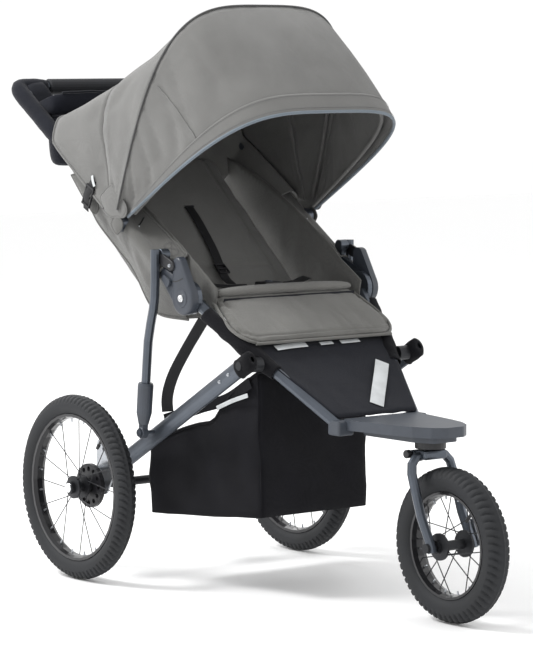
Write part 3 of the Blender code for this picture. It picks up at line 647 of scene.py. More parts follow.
def canopy():
    total, half = 20, 10
    rear_rows = [[a.lerp(b, i / total) for a, b in zip(REAR_HOOP, MID_HOOP)] for i in range(total + 1)]

    def lower(row, share):
        return rear_folds(row * 0.5, share)

    def upper(row, share):
        return rear_folds(0.5 + row * 0.5, share)

    front_rows = [front_hoop(MID_ANGLE + (FRONT_ANGLE - MID_ANGLE) * i / 22) for i in range(23)]
    rear = canopy_sheet("canopy_rear_panel", rear_rows[: half + 1], "upper_frame", lower)
    middle = canopy_sheet("canopy_middle_panel", rear_rows[half:], "canopy_middle", upper)
    front = canopy_sheet("canopy_front_panel", front_rows, "canopy_front", front_folds)
    for piece, node in ((rear, "canopy_rear"), (middle, "canopy_middle"), (front, "canopy_front")):
        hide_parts(node)
    pieces = [rear, middle, front]

    raised = [p + out_from_pivots(p, 0.0012) for p in MID_HOOP]
    piping = cable("canopy_piping", raised, 0.0023, "piping")
    pieces.append(dress(piping, "canopy_middle"))
    pieces.append(dress(cable("canopy_rear_hem", REAR_HOOP, 0.0026, "canopy"), "upper_frame"))
    edge = [p - out_from_pivots(p, 0.0006) for p in front_hoop(FRONT_ANGLE + 0.2)]
    band_rows = [front_hoop(angle, 0.0012) for angle in (143.6, 144.0, 146.5, 148.7, 149.1)]
    binding = cable("canopy_front_binding", edge, 0.0034, "binding", sides=10)
    band = grid_sheet("canopy_front_band", band_rows, "canopy")
    thicken(band, 0.0012, 0.0)
    front_pieces = [binding, band]
    for name, angle in (("canopy_front_stitches", 144.4), ("canopy_edge_stitches", 148.2)):
        front_pieces.append(stitches(name, front_hoop(angle, 0.0026)[4:-4], 0.0050, 0.0030))
    for key, share in (("r", 0.235), ("l", 0.765)):
        column = int(share * (CANOPY_COLUMNS - 1))
        line = []
        for i in range(2, 20):
            point = front_rows[i][column]
            line.append(point + out_from_pivots(point, front_folds(i / 22, share) + 0.0008))
        front_pieces.append(cable(f"canopy_dart_{key}", line, 0.0011, "canopy", sides=6))
    pieces += [dress(piece, "canopy_front") for piece in front_pieces]
    bows = (
        ("canopy_mid_bow", "canopy_middle", (107.5, 0.4680, 0.2540, 3.5)),
        ("canopy_front_bow", "canopy_front", (145.8, 0.4500, 0.2380, 3.8)),
    )
    for name, body, shape in bows:
        bow = cable(name, hoop(*shape, CANOPY_COLUMNS), 0.0042, "canopy_inner")
        pieces.append(dress(bow, body))
    for piece in pieces:
        fold_flat(piece)


def out_from_pivots(point, distance):
    out = Vector((point.x * 0.9, point.y - CANOPY_PIVOT[0], point.z - CANOPY_PIVOT[1]))
    return out.normalized() * distance


# Seat


def seat_point(x, up, out):
    """A point this far up the seat back from its bight and this far in front of its rear face."""
    across, along = math.cos(SEAT_BACK_ANGLE), math.sin(SEAT_BACK_ANGLE)
    y = SEAT_BIGHT[0] + up * across - out * along
    z = SEAT_BIGHT[1] + up * along + out * across
    return Vector((x, y, z))


def rounded_rectangle(half_x, half_y, radius, steps=6):
    points = []
    for cx, cy, start in ((1, 1, 0), (-1, 1, 90), (-1, -1, 180), (1, -1, 270)):
        for i in range(steps + 1):
            turn = math.radians(start + 90 * i / steps)
            x = cx * (half_x - radius) + radius * math.cos(turn)
            points.append((x, cy * (half_y - radius) + radius * math.sin(turn)))
    return points


def pad_shape(name, outline, place, thickness, crown, look, rings=5):
    """A closed pad over an outline: flat below, crowned above, set out by a place function (x, y, height)."""
    bm = bmesh.new()
    layers = []
    for i in range(rings + 1):
        scale = 1.0 - i / (rings + 0.6)
        rise = thickness + crown * (1 - scale * scale)
        layers.append([bm.verts.new(place(x * scale, y * scale, rise)) for x, y in outline])
    base = []
    for i in range(rings + 1):
        scale = 1.0 - i / (rings + 0.6)
        base.append([bm.verts.new(place(x * scale, y * scale, 0.0)) for x, y in outline])
    for stack, flip in ((layers, False), (base, True)):
        for first, second in zip(stack, stack[1:]):
            for k in range(len(outline)):
                j = (k + 1) % len(outline)
                quad = (first[k], first[j], second[j], second[k])
                bm.faces.new(tuple(reversed(quad)) if flip else quad)
        bm.faces.new(stack[-1])
    for k in range(len(outline)):
        j = (k + 1) % len(outline)
        bm.faces.new((base[0][k], base[0][j], layers[0][j], layers[0][k]))
    return from_bmesh(name, bm, look)


def puffed(obj, voxel, pressure, cap, frames=18):
    """Swells a closed pad with a short cloth simulation, no point moving further than the cap."""
    remesh = obj.modifiers.new("Remesh", "REMESH")
    remesh.mode = "VOXEL"
    remesh.voxel_size = voxel
    remesh.use_smooth_shade = True
    applied(obj)
    rest = [v.co.copy() for v in obj.data.vertices]
    cloth = obj.modifiers.new("Cloth", "CLOTH")
    cloth.settings.quality = 4
    cloth.settings.use_pressure = True
    cloth.settings.uniform_pressure_force = pressure
    cloth.settings.effector_weights.gravity = 0.0
    cloth.point_cache.frame_start = 1
    cloth.point_cache.frame_end = frames
    for number in range(1, frames + 1):
        bpy.context.scene.frame_set(number)
    graph = bpy.context.evaluated_depsgraph_get()
    swollen = bpy.data.meshes.new_from_object(obj.evaluated_get(graph))
    obj.modifiers.clear()
    obj.data = swollen
    bpy.context.scene.frame_set(1)
    for vertex, before in zip(swollen.vertices, rest):
        move = vertex.co - before
        if move.length > cap:
            vertex.co = before + move.normalized() * cap
    obj.data.shade_smooth()
    return obj


def moved(obj, field):
    """Moves each vertex along its normal by a field of its place."""
    normals = [v.normal.copy() for v in obj.data.vertices]
    for vertex, normal in zip(obj.data.vertices, normals):
        vertex.co += normal * field(vertex.co, normal)
    obj.data.update()
    return obj


def channel(distance, width, depth):
    return -depth * math.exp(-((distance / width) ** 2))


def seat_back():
    outline = rounded_rectangle(0.168, 0.206, 0.030)

    def place(x, y, height):
        taper = 1.0 - 0.05 * (y + 0.206) / 0.412
        return seat_point(x * taper, 0.214 + y, height)

    pad = pad_shape("seat_back_pad", outline, place, 0.024, 0.005, "seat")
    puffed(pad, 0.0058, 4.0, 0.006)
    up_axis = Vector((0.0, math.cos(SEAT_BACK_ANGLE), math.sin(SEAT_BACK_ANGLE)))
    bight = Vector((0.0, *SEAT_BIGHT))

    def seams(point, normal):
        up = (point - bight).dot(up_axis)
        depth = channel(abs(point.x) - 0.118, 0.0045, 0.0028)
        depth += channel(up - 0.075, 0.0045, 0.0022) * (1 if abs(point.x) < 0.118 else 0)
        crease = ridge(noise.noise(Vector((point.x * 9.0, up * 6.0, 2.0)))) - 1.0
        return depth + 0.0016 * noise.noise(point * 14.0) + 0.0022 * crease

    moved(pad, seams)
    subdivided(pad)
    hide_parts("seat_back")
    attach(pad, "seat_back")
    for key, x in (("r", -0.118), ("l", 0.118)):
        line = [seat_point(x, up, 0.0345) for up in (0.03, 0.12, 0.22, 0.32, 0.40)]
        seam = stitches(f"seat_back_stitches_{key}", line, 0.0060, 0.0036)
        dress(seam, "seat_back")


def back_liner():
    """The cloth that closes the back, from the canopy's rear hem over the tubes and behind the seat back."""
    edge = [(0.1915, 0.262, 0.796), (0.1915, 0.330, 0.828), (0.1910, 0.400, 0.848), (0.1890, 0.438, 0.842)]
    edge += [(0.1650, 0.440, 0.826), (0.1000, 0.438, 0.824)]
    inner = [Vector((-x, y, z)) for x, y, z in edge] + [Vector((0.0, 0.438, 0.824))]
    inner += [Vector((x, y, z)) for x, y, z in reversed(edge)]
    inner = smooth_path(inner, CANOPY_COLUMNS)
    away = Vector((0.0, -math.sin(HANDLE_ANGLE), math.cos(HANDLE_ANGLE)))
    rows = []
    for i in range(17):
        part = i / 16
        row = []
        for k, (a, b) in enumerate(zip(REAR_HOOP, inner)):
            over = a.lerp(b, 0.35) + away * 0.040 * smoothstep((abs(a.x) - 0.19) / 0.05)
            point = a * (1 - part) ** 2 + over * 2 * part * (1 - part) + b * part * part
            ripple = 0.0050 * noise.noise(Vector((k * 0.11, part * 2.5, 3.0))) * math.sin(math.pi * part)
            row.append(point + Vector((0.0, ripple, ripple)))
        rows.append(row)
    liner = grid_sheet("seat_back_liner", rows, "seat")
    thicken(liner, 0.0014, 0.0)
    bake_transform(liner)


def seat_base():
    half_x, half_y = 0.160, 0.064

    def place(x, y, height):
        return Vector((x, 0.058 + y, 0.576 + height))

    outline = rounded_rectangle(half_x, half_y, 0.022)
    pad = pad_shape("seat_pad", outline, place, 0.038, 0.005, "seat")
    puffed(pad, 0.0055, 4.0, 0.006)
    moved(pad, lambda p, n: 0.0014 * noise.noise(p * 16.0) + channel(abs(p.x) - 0.10, 0.005, 0.002))
    subdivided(pad)
    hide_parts("seat_base")
    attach(pad, "main_frame")
    roll = tube("seat_front_roll", [roll_ring(-0.178 + 0.356 * i / 32) for i in range(33)], "flap")
    subdivided(roll)
    dress(roll, "main_frame")


def roll_ring(x):
    """One section of the soft roll in front of the seat, thinner towards its ends."""
    end = x / 0.178
    swell = 0.86 - 0.40 * abs(end) ** 8
    ring = []
    for c, s in circle(14):
        radius = 0.0155 * swell * (1 + 0.06 * noise.noise(Vector((x * 30, c, s))))
        ring.append((x, 0.003 + radius * 1.45 * c, 0.6255 - 0.003 * end**2 + 0.80 * radius * s))
    return ring


FLAP_TOP = Vector((0.0, -0.014, 0.6055))
FLAP_DOWN = Vector((0.0, -0.124, -0.0735)).normalized()
FLAP_OUT = Vector((0.0, -0.510, 0.860))


def flap_point(x, down, out):
    bow = 0.010 * (x / 0.19) ** 2
    down -= 0.028 * smoothstep((abs(x) - 0.11) / 0.08) * max(0.0, 1 - down / 0.142)
    return FLAP_TOP + Vector((x, 0.0, 0.0)) + FLAP_DOWN * down + FLAP_OUT * (out - bow * 0.4)


def leg_flap():
    """The padded flap over the front edge: rounded lower corners, an edge binding and a sewn channel."""
    length = 0.142
    wide, round_off = 0.204, 0.050
    outline = []
    for cx, start, radius in ((1, 0, round_off), (-1, 90, round_off)):
        for i in range(8):
            turn = math.radians(start + 90 * i / 7)
            x = cx * (wide - radius) + radius * math.cos(turn)
            outline.append((x, length / 2 - radius + radius * math.sin(turn)))
    for cx, start, radius in ((-1, 180, 0.014), (1, 270, 0.014)):
        for i in range(4):
            turn = math.radians(start + 90 * i / 3)
            x = cx * (0.184 - radius) + radius * math.cos(turn)
            outline.append((x, -length / 2 + radius + radius * math.sin(turn)))

    def place(x, y, height):
        return flap_point(x, y + length / 2, height - 0.007)

    pad = pad_shape("leg_flap_pad", outline, place, 0.010, 0.002, "flap", rings=6)
    puffed(pad, 0.0042, 3.5, 0.005)

    def edge_distance(point):
        local = point - FLAP_TOP
        down = local.dot(FLAP_DOWN)
        spots = [
            wide - abs(local.x) if down > 0.03 else 0.188 - abs(local.x),
            length - down,
        ]
        corner = Vector((abs(local.x) - (wide - round_off), down - (length - round_off)))
        if corner.x > 0 and corner.y > 0:
            spots.append(round_off - corner.length)
        return min(spots)

    def seams(point, normal):
        facing = max(0.0, normal.dot(FLAP_OUT))
        pucker = ridge(noise.noise(Vector((point.x * 30.0, point.y * 6.0, 3.3)))) - 1.0
        sewn = channel(edge_distance(point) - 0.0135, 0.0026, 0.0034)
        return facing * (sewn + 0.0014 * pucker) + 0.0012 * noise.noise(point * 20.0)

    moved(pad, seams)
    subdivided(pad)
    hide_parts("leg_flap")
    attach(pad, "main_frame")
    rim = [flap_point(x, y + length / 2, -0.001) for x, y in outline[:16]]
    start = [flap_point(0.186, 0.012, -0.001), flap_point(0.199, 0.06, -0.001)]
    end = [flap_point(-0.199, 0.06, -0.001), flap_point(-0.186, 0.012, -0.001)]
    spread = (-0.172, -0.09, 0.0, 0.09, 0.172)
    shade_line = [Vector((x, -0.0165 - 0.0020 * (x / 0.17) ** 2, 0.6075)) for x in spread]
    under = strap("flap_shadow_tape", shade_line, 0.0120, 0.0012, "dark", side=(0.0, -0.35, 0.94), count=30)
    dress(under, "main_frame")
    binding = cable("leg_flap_binding", [*start, *rim, *end], 0.0034, "flap", count=90, sides=8)
    dress(binding, "main_frame")


def calf_panel():
    """A slack mesh sling from the flap to the footrest, with sewn reflective tape."""
    rows = []
    for i in range(17):
        part = i / 16
        y = -0.112 - 0.193 * part
        z = 0.5275 - 0.1365 * part
        half = 0.186 - 0.084 * part
        row = []
        for k in range(33):
            share = -1 + 2 * k / 32
            sag = -0.006 * math.sin(math.pi * part) * (1 - share * share)
            ripple = 0.0016 * noise.noise(Vector((share * 4.0, part * 6.0, 2.2)))
            row.append((share * half, y, z + sag + ripple))
        rows.append(row)
    panel = grid_sheet("calf_mesh", rows, "mesh")
    thicken(panel, 0.0016, 0.0)
    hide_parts("calf_panel")
    dress(panel, "main_frame")
    strips = (
        ("a", [(-0.126, -0.1315, 0.5160), (-0.084, -0.129, 0.5180), (-0.044, -0.128, 0.5185)], 0.015),
        ("b", [(-0.0086, -0.1285, 0.5180), (0.008, -0.128, 0.5182), (0.0250, -0.1275, 0.5185)], 0.010),
        ("c", [(0.046, -0.128, 0.5182), (0.070, -0.1275, 0.5184), (0.0960, -0.127, 0.5188)], 0.011),
    )
    for key, points, width in strips:
        raised = [Vector(p) + Vector((0.0, -0.0012, 0.0022)) for p in points]
        tape = strap(f"reflective_tape_{key}", raised, width, 0.0008, "reflect", (0.0, -0.82, -0.57), 8)
        dress(tape, "main_frame")
    tall = [(0.113, -0.183, 0.4795), (0.081, -0.216, 0.4555)]
    tall += [(0.045, -0.252, 0.4295), (0.014, -0.284, 0.4075)]
    tape = strap("reflective_tape_d", tall, 0.030, 0.0008, "reflect", side=(1.0, 0.0, 0.0), count=16)
    dress(tape, "main_frame")


def side_patch(name, side, x, outline, look, crown=0.0025):
    """A slightly crowned cloth patch on the stroller's side, through points (y, z), with a corded edge."""
    ring = smooth_path([Vector((0.0, y, z)) for y, z in (*outline, outline[0])], 49)[:-1]
    middle = sum(ring, Vector()) / len(ring)

    def place(u, v, height):
        return Vector((side * (x + height), middle.y + u, middle.z + v))

    flat = [(p.y - middle.y, p.z - middle.z) for p in ring]
    patch = pad_shape(name, flat, place, 0.0016, crown, look, rings=6)
    edge = [place(u, v, 0.0010) for u, v in flat]
    cord = cable(f"{name}_cord", edge, 0.0018, look, closed=True)
    for piece in (patch, cord):
        dress(piece, "upper_frame")
        fold_flat(piece)


CANOPY_CORNER = ((0.2950, 0.8130), (0.2800, 0.7840), (0.2560, 0.7720), (0.2256, 0.7720))
CANOPY_CORNER += ((0.2060, 0.7740), (0.1980, 0.7900), (0.2120, 0.8080), (0.2500, 0.8380))
PIVOT_COVER = ((0.2560, 0.7570), (0.2350, 0.7780), (0.2140, 0.7570), (0.2350, 0.7360))
RECLINE_EAR = ((0.4240, 0.8530), (0.3688, 0.8562), (0.3300, 0.8050))
RECLINE_EAR += ((0.3261, 0.7800), (0.3430, 0.7760), (0.3800, 0.8085))


def pivot_covers():
    """The canopy's rounded lower corner over each pivot, and the seat back's cloth ear behind the tube."""
    for key, side in SIDES.items():
        side_patch(f"canopy_corner_{key}", side, 0.2590, CANOPY_CORNER, "canopy")
        side_patch(f"pivot_cover_{key}", side, 0.2585, PIVOT_COVER, "side")
        side_patch(f"recline_ear_{key}", side, 0.2440, RECLINE_EAR, "side", crown=0.0040)


def seat_sides():
    """The seat's fabric sides: an inner wing, and an outer sleeve over the handle tube down to the rail."""
    outline = [
        (0.012, 0.573), (0.080, 0.566), (0.151, 0.569), (0.235, 0.614), (0.330, 0.690), (0.400, 0.764),
        (0.462, 0.826), (0.497, 0.858), (0.470, 0.886), (0.400, 0.868), (0.300, 0.826), (0.200, 0.778),
        (0.100, 0.716), (0.030, 0.668), (-0.022, 0.634), (-0.014, 0.596),
    ]
    for key, side in SIDES.items():
        bm = bmesh.new()
        verts = [bm.verts.new((side * 0.190, y, z)) for y, z in outline]
        face = bm.faces.new(verts)
        bmesh.ops.triangulate(bm, faces=[face])
        for _ in range(4):
            bmesh.ops.subdivide_edges(bm, edges=[e for e in bm.edges if e.calc_length() > 0.018], cuts=1)
            bmesh.ops.triangulate(bm, faces=[f for f in bm.faces if len(f.verts) > 3])
        for vertex in bm.verts:
            y, z = vertex.co.y, vertex.co.z
            wave = noise.noise(Vector((y * 13.0, z * 13.0, side * 3.0)))
            fine = ridge(noise.noise(Vector((y * 15.0 + z * 8.0, z * 9.0, side * 5.0)))) - 1.0
            vertex.co.x += side * (0.0040 * wave + 0.0026 * fine)
        cut = sum(f.calc_area() for f in bm.faces)
        wing = from_bmesh(f"seat_wing_{key}", bm, "side")
        thicken(wing, 0.0022, 0.0)
        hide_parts(f"seat_side_{key}")
        dress(wing, "upper_frame")
        fold_flat(wing)
        outer_sleeve(key, side)
        side_details(key, side)


def wing_top(distance):
    """How far above the handle tube the wing's top edge is, at this distance along the tube."""
    if distance < 0.35:
        return 0.0415 - 0.0196 * (distance - 0.09) / 0.26
    return 0.0219 - 0.020 * (distance - 0.35) / 0.11


def outer_sleeve(key, side):
    """Cloth from the wing's top edge over the handle tube and down to the seat rail."""
    lower = [
        (0.060, 0.5655), (0.1575, 0.5690), (0.2001, 0.5932), (0.2538, 0.6572), (0.3083, 0.6965),
        (0.3783, 0.7462), (0.4043, 0.7728),
    ]
    lower = smooth_path([(0.0, y, z) for y, z in lower], 41)
    rows = []
    for i, low in enumerate(lower):
        part = i / 40
        distance = 0.090 + 0.312 * part
        y, z = along_handle(distance)
        top_y, top_z = along_handle(distance, wing_top(distance))
        inner = Vector((side * 0.1945, top_y, top_z))
        ring = []
        for turn in (118, 95, 70, 45, 20, -5, -30):
            angle = math.radians(turn)
            ny = -math.sin(HANDLE_ANGLE) * math.sin(angle)
            nz = math.cos(HANDLE_ANGLE) * math.sin(angle)
            x = side * (HANDLE_X + HANDLE_RADIUS * math.cos(angle))
            ring.append(Vector((x, y + HANDLE_RADIUS * ny, z + HANDLE_RADIUS * nz)))
        row = []
        for step in range(7):
            share = step / 7
            point = inner.lerp(ring[0], share)
            point.z -= 0.004 * math.sin(math.pi * share)
            point.z += 0.0020 * noise.noise(Vector((part * 13.0, share * 3.0, side * 4.0)))
            row.append(point)
        row += ring
        end = Vector((side * 0.2030, low.y, low.z))
        for step in range(1, 15):
            share = step / 14
            point = ring[-1].lerp(end, share)
            belly = 0.003 * math.sin(math.pi * share)
            crease = 0.0042 * noise.noise(Vector((part * 7.0 + share, share * 2.6, side * 2.0)))
            deep = 0.0020 * noise.noise(Vector((part * 20.0 + 3.0 * share, share * 7.0, side * 7.0)))
            point.x += side * (belly + (crease + deep) * math.sin(math.pi * min(share * 1.1, 1.0)))
            row.append(point)
        rows.append(row)
    sleeve = grid_sheet(f"seat_sleeve_{key}", rows, "side")
    if sleeve.data.polygons[len(sleeve.data.polygons) // 2 + 5].normal.x * side < 0:
        sleeve.data.flip_normals()
    thicken(sleeve, 0.0016, -1.0)
    pieces = [sleeve]
    hems = (
        ("hem", [row[-1] + Vector((side * 0.0006, 0, 0)) for row in rows]),
        ("front_hem", smooth_path(rows[0], 60)),
        ("top_hem", [row[0] for row in rows]),
    )
    for name, line in hems:
        pieces.append(cable(f"seat_sleeve_{name}_{key}", line, 0.0020, "side"))
    zip_line = [rows[i][k] + Vector((side * 0.0012, 0.0, 0.0)) for i, k in ((20, 2), (19, 4), (18, 6))]
    pieces.append(strap(f"seat_zip_{key}", zip_line, 0.0030, 0.0012, "dark_metal", (0.0, 0.8, 0.5), 16))
    pull = [zip_line[-1], zip_line[-1] + Vector((side * 0.0015, -0.004, -0.014))]
    pieces.append(strap(f"seat_zip_pull_{key}", pull, 0.0065, 0.0018, "silver", (0.0, 1.0, 0.0), 6))
    lift = Vector((side * 0.0012, 0.0, 0.0012))
    box = [rows[i][k] + lift for i, k in ((3, 1), (7, 1), (7, 4), (3, 4))]
    cross = [box[1], (box[1] + box[3]) / 2, box[3]]
    pieces.append(stitches(f"seat_box_stitch_{key}", [*box, box[0], box[2]], 0.0030, 0.0020))
    pieces.append(stitches(f"seat_cross_stitch_{key}", cross, 0.0030, 0.0020))
    for piece in pieces:
        dress(piece, "upper_frame")
        fold_flat(piece)


BUCKLE_TURN = math.radians(115)
LADDER_BARS = ((-0.024, -0.0195), (-0.006, -0.002), (0.0175, 0.022))
TAG_ROUTE = ((-0.012, 0.0), (0.0, 0.0012), (0.012, 0.0))
SQUARE = ((0, 0), (0, 1), (1, 1), (1, 0))


def side_details(key, side):
    """The recline strap's ladder buckle beside the canopy, and a blank folded tag on the canopy's hem."""
    centre = Vector((side * 0.2630, 0.3340, 0.8130))
    along = Vector((0.0, math.cos(BUCKLE_TURN), math.sin(BUCKLE_TURN)))
    across = Vector((0.0, -along.z, along.y))
    out = Vector((side, 0.0, 0.0))
    bars = [(low, (-0.0145, 0.0145), (-0.0030, 0.0030)) for low in LADDER_BARS]
    bars += [((-0.024, 0.022), (start, start + 0.0035), (-0.0022, 0.0022)) for start in (-0.0145, 0.0110)]
    buckle = barred(f"recline_ladder_{key}", (centre, along, across, out), bars, 0.0007)
    dress(buckle, "upper_frame")
    route = ((-0.034, -0.004), (-0.024, -0.0010), (0.0, 0.0036), (0.024, -0.0015), (0.040, -0.006))
    path = [centre + along * distance + out * height for distance, height in route]
    web = strap(f"recline_web_{key}", path, 0.0200, 0.0014, "webbing", across, 20)
    dress(web, "upper_frame")
    if side == RIGHT:
        spot = Vector((side * 0.2625, 0.3160, 0.8440))
        down = Vector((0.0, -0.34, -0.94)).normalized()
        path = [spot + down * distance + out * h for distance, h in TAG_ROUTE]
        tag = strap("blank_tag", path, 0.0080, 0.0014, "reflect", (0.0, 0.94, -0.34), 8)
        dress(tag, "upper_frame")


def barred(name, axes, bars, width):
    """A moulded buckle made of bars, its edges bevelled."""
    bm = bmesh.new()
    for spans in bars:
        bar(bm, *axes, *spans)
    buckle = from_bmesh(name, bm, "black_plastic", smooth=False)
    bevel(buckle, width)
    return buckle


def bar(bm, centre, along, across, out, a, b, c):
    """A box between three pairs of distances along three directions."""
    corners = [[[bm.verts.new(centre + along * u + across * v + out * w) for w in c] for v in b] for u in a]
    for end in (0, 1):
        for loop in (
            [corners[end][i][k] for i, k in SQUARE],
            [corners[i][end][k] for i, k in SQUARE],
            [corners[i][k][end] for i, k in SQUARE],
        ):
            bm.faces.new(loop)


def harness():
    """The shoulder strap with its adjuster, the waist straps and the crotch strap to the buckle."""
    route = [(-0.006, 0.252, 0.036), (-0.006, 0.246, 0.0385)]
    route += [(-0.007, 0.200, 0.0400), (-0.014, 0.120, 0.0400)]
    points = [seat_point(x, up, out) for x, up, out in route]
    points += [Vector((-0.030, 0.168, 0.643)), Vector((-0.040, 0.130, 0.6285))]
    web = strap("shoulder_strap", points, 0.022, 0.0016, "webbing", count=44)
    dress(web, "seat_back")
    # A dark strip across the strap where it goes into the seat back: painted shadow of the slot's opening.
    slot_shadow_line = [seat_point(x, 0.255, 0.0345) for x in (-0.024, -0.006, 0.012)]
    edge = strap("shoulder_slot_shadow", slot_shadow_line, 0.0060, 0.0014, "dark", side=(0.0, 0.74, 0.67), count=8)
    dress(edge, "seat_back")
    slider("strap_adjuster", Vector((-0.0265, 0.180, 0.6560)), (0.10, -0.72, -0.68))
    for key, side in SIDES.items():
        places = [(0.150, 0.112, 0.634), (0.118, 0.092, 0.6315)]
        places += [(0.092, 0.078, 0.6285), (0.052, 0.058, 0.6285)]
        waist = [Vector((side * x, y, z)) for x, y, z in places]
        belt = strap(f"waist_strap_{key}", waist, 0.020, 0.0016, "webbing", side=(0.0, 0.9, 0.25), count=26)
        dress(belt, "main_frame")
    spots = ((0.010, 0.6265), (0.020, 0.6262), (0.030, 0.6268), (0.036, 0.6275))
    crotch = [Vector((0.0, y, z)) for y, z in spots]
    web = strap("crotch_strap", crotch, 0.0240, 0.0016, "webbing", count=12)
    dress(web, "main_frame")


def slider(name, centre, along):
    """A three-bar strap slider."""
    along = Vector(along).normalized()
    across = Vector((1.0, 0.0, 0.0))
    out = across.cross(along).normalized()
    if out.z < 0:
        out = -out
    bars = [((low, low + 0.0030), (-0.0135, 0.0135), (-0.0018, 0.0028)) for low in (-0.0130, -0.0015, 0.0100)]
    bars += [((-0.0130, 0.0130), (start, start + 0.0030), (-0.0015, 0.0025)) for start in (-0.0135, 0.0105)]
    dress(barred(name, (centre, along, across, out), bars, 0.0006), "seat_back")


# Basket


BASKET_EDGE = (
    (-0.108, 0.4700), (-0.067, 0.4440), (-0.031, 0.4180), (0.004, 0.3800), (0.020, 0.3560),
    (0.066, 0.3470), (0.104, 0.3354), (0.164, 0.3131), (0.215, 0.2889),
)


def edge_height(y):
    for (y0, z0), (y1, z1) in zip(BASKET_EDGE, BASKET_EDGE[1:]):
        if y <= y1:
            return z0 + (z1 - z0) * min(max((y - y0) / (y1 - y0), 0.0), 1.0)
    return BASKET_EDGE[-1][1]


def basket_outline(front_half, rear_half, front, rear, radius):
    """A closed ring of (x, y) round the bag, each corner an arc."""
    corners = [(-rear_half, rear, 90), (-front_half, front, 180)]
    corners += [(front_half, front, 270), (rear_half, rear, 0)]
    ring = []
    for x, y, start in corners:
        cx = x - math.copysign(radius, x)
        cy = y + radius if y == front else y - radius
        for i in range(5):
            turn = math.radians(start + 90 * i / 4)
            ring.append((cx + radius * math.cos(turn), cy + radius * math.sin(turn)))
    full = []
    for i, point in enumerate(ring):
        after = ring[(i + 1) % len(ring)]
        steps = max(1, round(math.dist(point, after) / 0.016))
        for k in range(steps):
            share = k / steps
            full.append((point[0] + (after[0] - point[0]) * share, point[1] + (after[1] - point[1]) * share))
    return full


def basket():
    top = basket_outline(0.150, 0.196, -0.108, 0.215, 0.014)
    low = basket_outline(0.143, 0.194, -0.104, 0.213, 0.014)
    rows = []
    for level in range(15):
        part = level / 14
        row = []
        for i, (x, y) in enumerate(top):
            lx, ly = low[i % len(low)]
            droop = 0.016 * (1 - (x / 0.15) ** 2) if abs(y + 0.108) < 0.004 else 0.0
            droop = 0.022 * (1 - (x / 0.196) ** 2) if abs(y - 0.215) < 0.004 else droop
            high = edge_height(y) - max(droop, 0.0)
            bottom = 0.168 - 0.021 * (y + 0.108) / 0.323
            point = Vector((x + (lx - x) * part, y + (ly - y) * part, high + (bottom - high) * part))
            out = Vector((x, 0.6 * (y - 0.05), 0.0)).normalized()
            slack = 0.0040 * math.sin(math.pi * part)
            wave = noise.noise(Vector((x * 9.0, y * 9.0, point.z * 7.0)))
            crease = noise.noise(Vector((x * 24.0 + point.z * 16.0, y * 24.0, point.z * 11.0)))
            fade = math.sin(math.pi * min(part * 0.92 + 0.04, 1.0))
            amount = (0.010 * wave + 0.0050 * crease) * fade - slack * 0.6
            row.append(point + out * amount)
        rows.append(row)
    base = rows[-1]
    for step in range(1, 8):
        part = step / 7.4
        row = []
        for point in base:
            middle = Vector((point.x * 0.02, 0.05 + (point.y - 0.05) * 0.02, 0.0))
            flat = Vector((point.x, point.y, 0.0)).lerp(middle, part)
            sag = 0.011 * (1 - (1 - part) ** 2)
            ripple = 0.003 * noise.noise(Vector((flat.x * 16.0, flat.y * 16.0, 6.0)))
            row.append(Vector((flat.x, flat.y, point.z - sag + ripple)))
        rows.append(row)
    bag = grid_sheet("basket_bag", rows, "black", closed=True)
    mesh = bag.data
    side = mesh.polygons[5]
    if side.normal.dot(side.center - Vector((0.0, 0.05, side.center.z))) < 0:
        mesh.flip_normals()
    bm = bmesh.new()
    bm.from_mesh(mesh)
    bottom = [e for e in bm.edges if e.is_boundary and all(v.co.z < 0.20 for v in e.verts)]
    bmesh.ops.holes_fill(bm, edges=bottom)
    bm.to_mesh(mesh)
    bm.free()
    shell = bag.modifiers.new("Solidify", "SOLIDIFY")
    shell.thickness = 0.0018
    shell.offset = -1.0
    applied(bag)
    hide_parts("basket")
    stretch_with_legs(bag)
    rim = cable("basket_hem", [p + Vector((0, 0, 0.0006)) for p in rows[0]], 0.0030, "black", closed=True)
    stretch_with_legs(rim)
    count = len(top)
    near = max(range(count), key=lambda i: (top[i][0] < 0) * 10 - abs(top[i][1] + 0.100))
    far = max(range(count), key=lambda i: (top[i][0] > 0) * 10 - abs(top[i][1] + 0.100))
    for key, column in (("r", near), ("l", far)):
        line = [row[column] + Vector((0.0, -0.0012, 0.0)) for row in rows[:15]]
        seam = cable(f"basket_corner_seam_{key}", line, 0.0016, "black", sides=6)
        stretch_with_legs(seam)
    for key, side in SIDES.items():
        basket_bands(key, side)


def basket_bands(key, side):
    """The dark band from the bag's front corner back to the leg, and a pale stripe below it."""
    band = [(0.153, -0.088, 0.446), (0.156, -0.031, 0.413), (0.162, 0.004, 0.398), (0.170, 0.052, 0.384)]
    band += [(0.180, 0.104, 0.366), (0.195, 0.150, 0.350)]
    path = [Vector((side * (x + 0.0045), y, z)) for x, y, z in band]
    upper = strap(f"basket_band_{key}", path, 0.0240, 0.0016, "black", side=(0.0, 0.25, 0.97), count=40)
    stripe = [(0.1555, -0.085, 0.420), (0.160, -0.040, 0.405), (0.1655, 0.006, 0.386)]
    spots = [Vector((side * (x + 0.0060), y, z)) for x, y, z in stripe]
    pale = strap(f"basket_stripe_{key}", spots, 0.0090, 0.0010, "reflect", side=(0.0, 0.25, 0.97), count=16)
    for piece, slot in ((upper, "black_fabric"), (pale, "grey_fabric")):
        stretch_with_legs(piece)


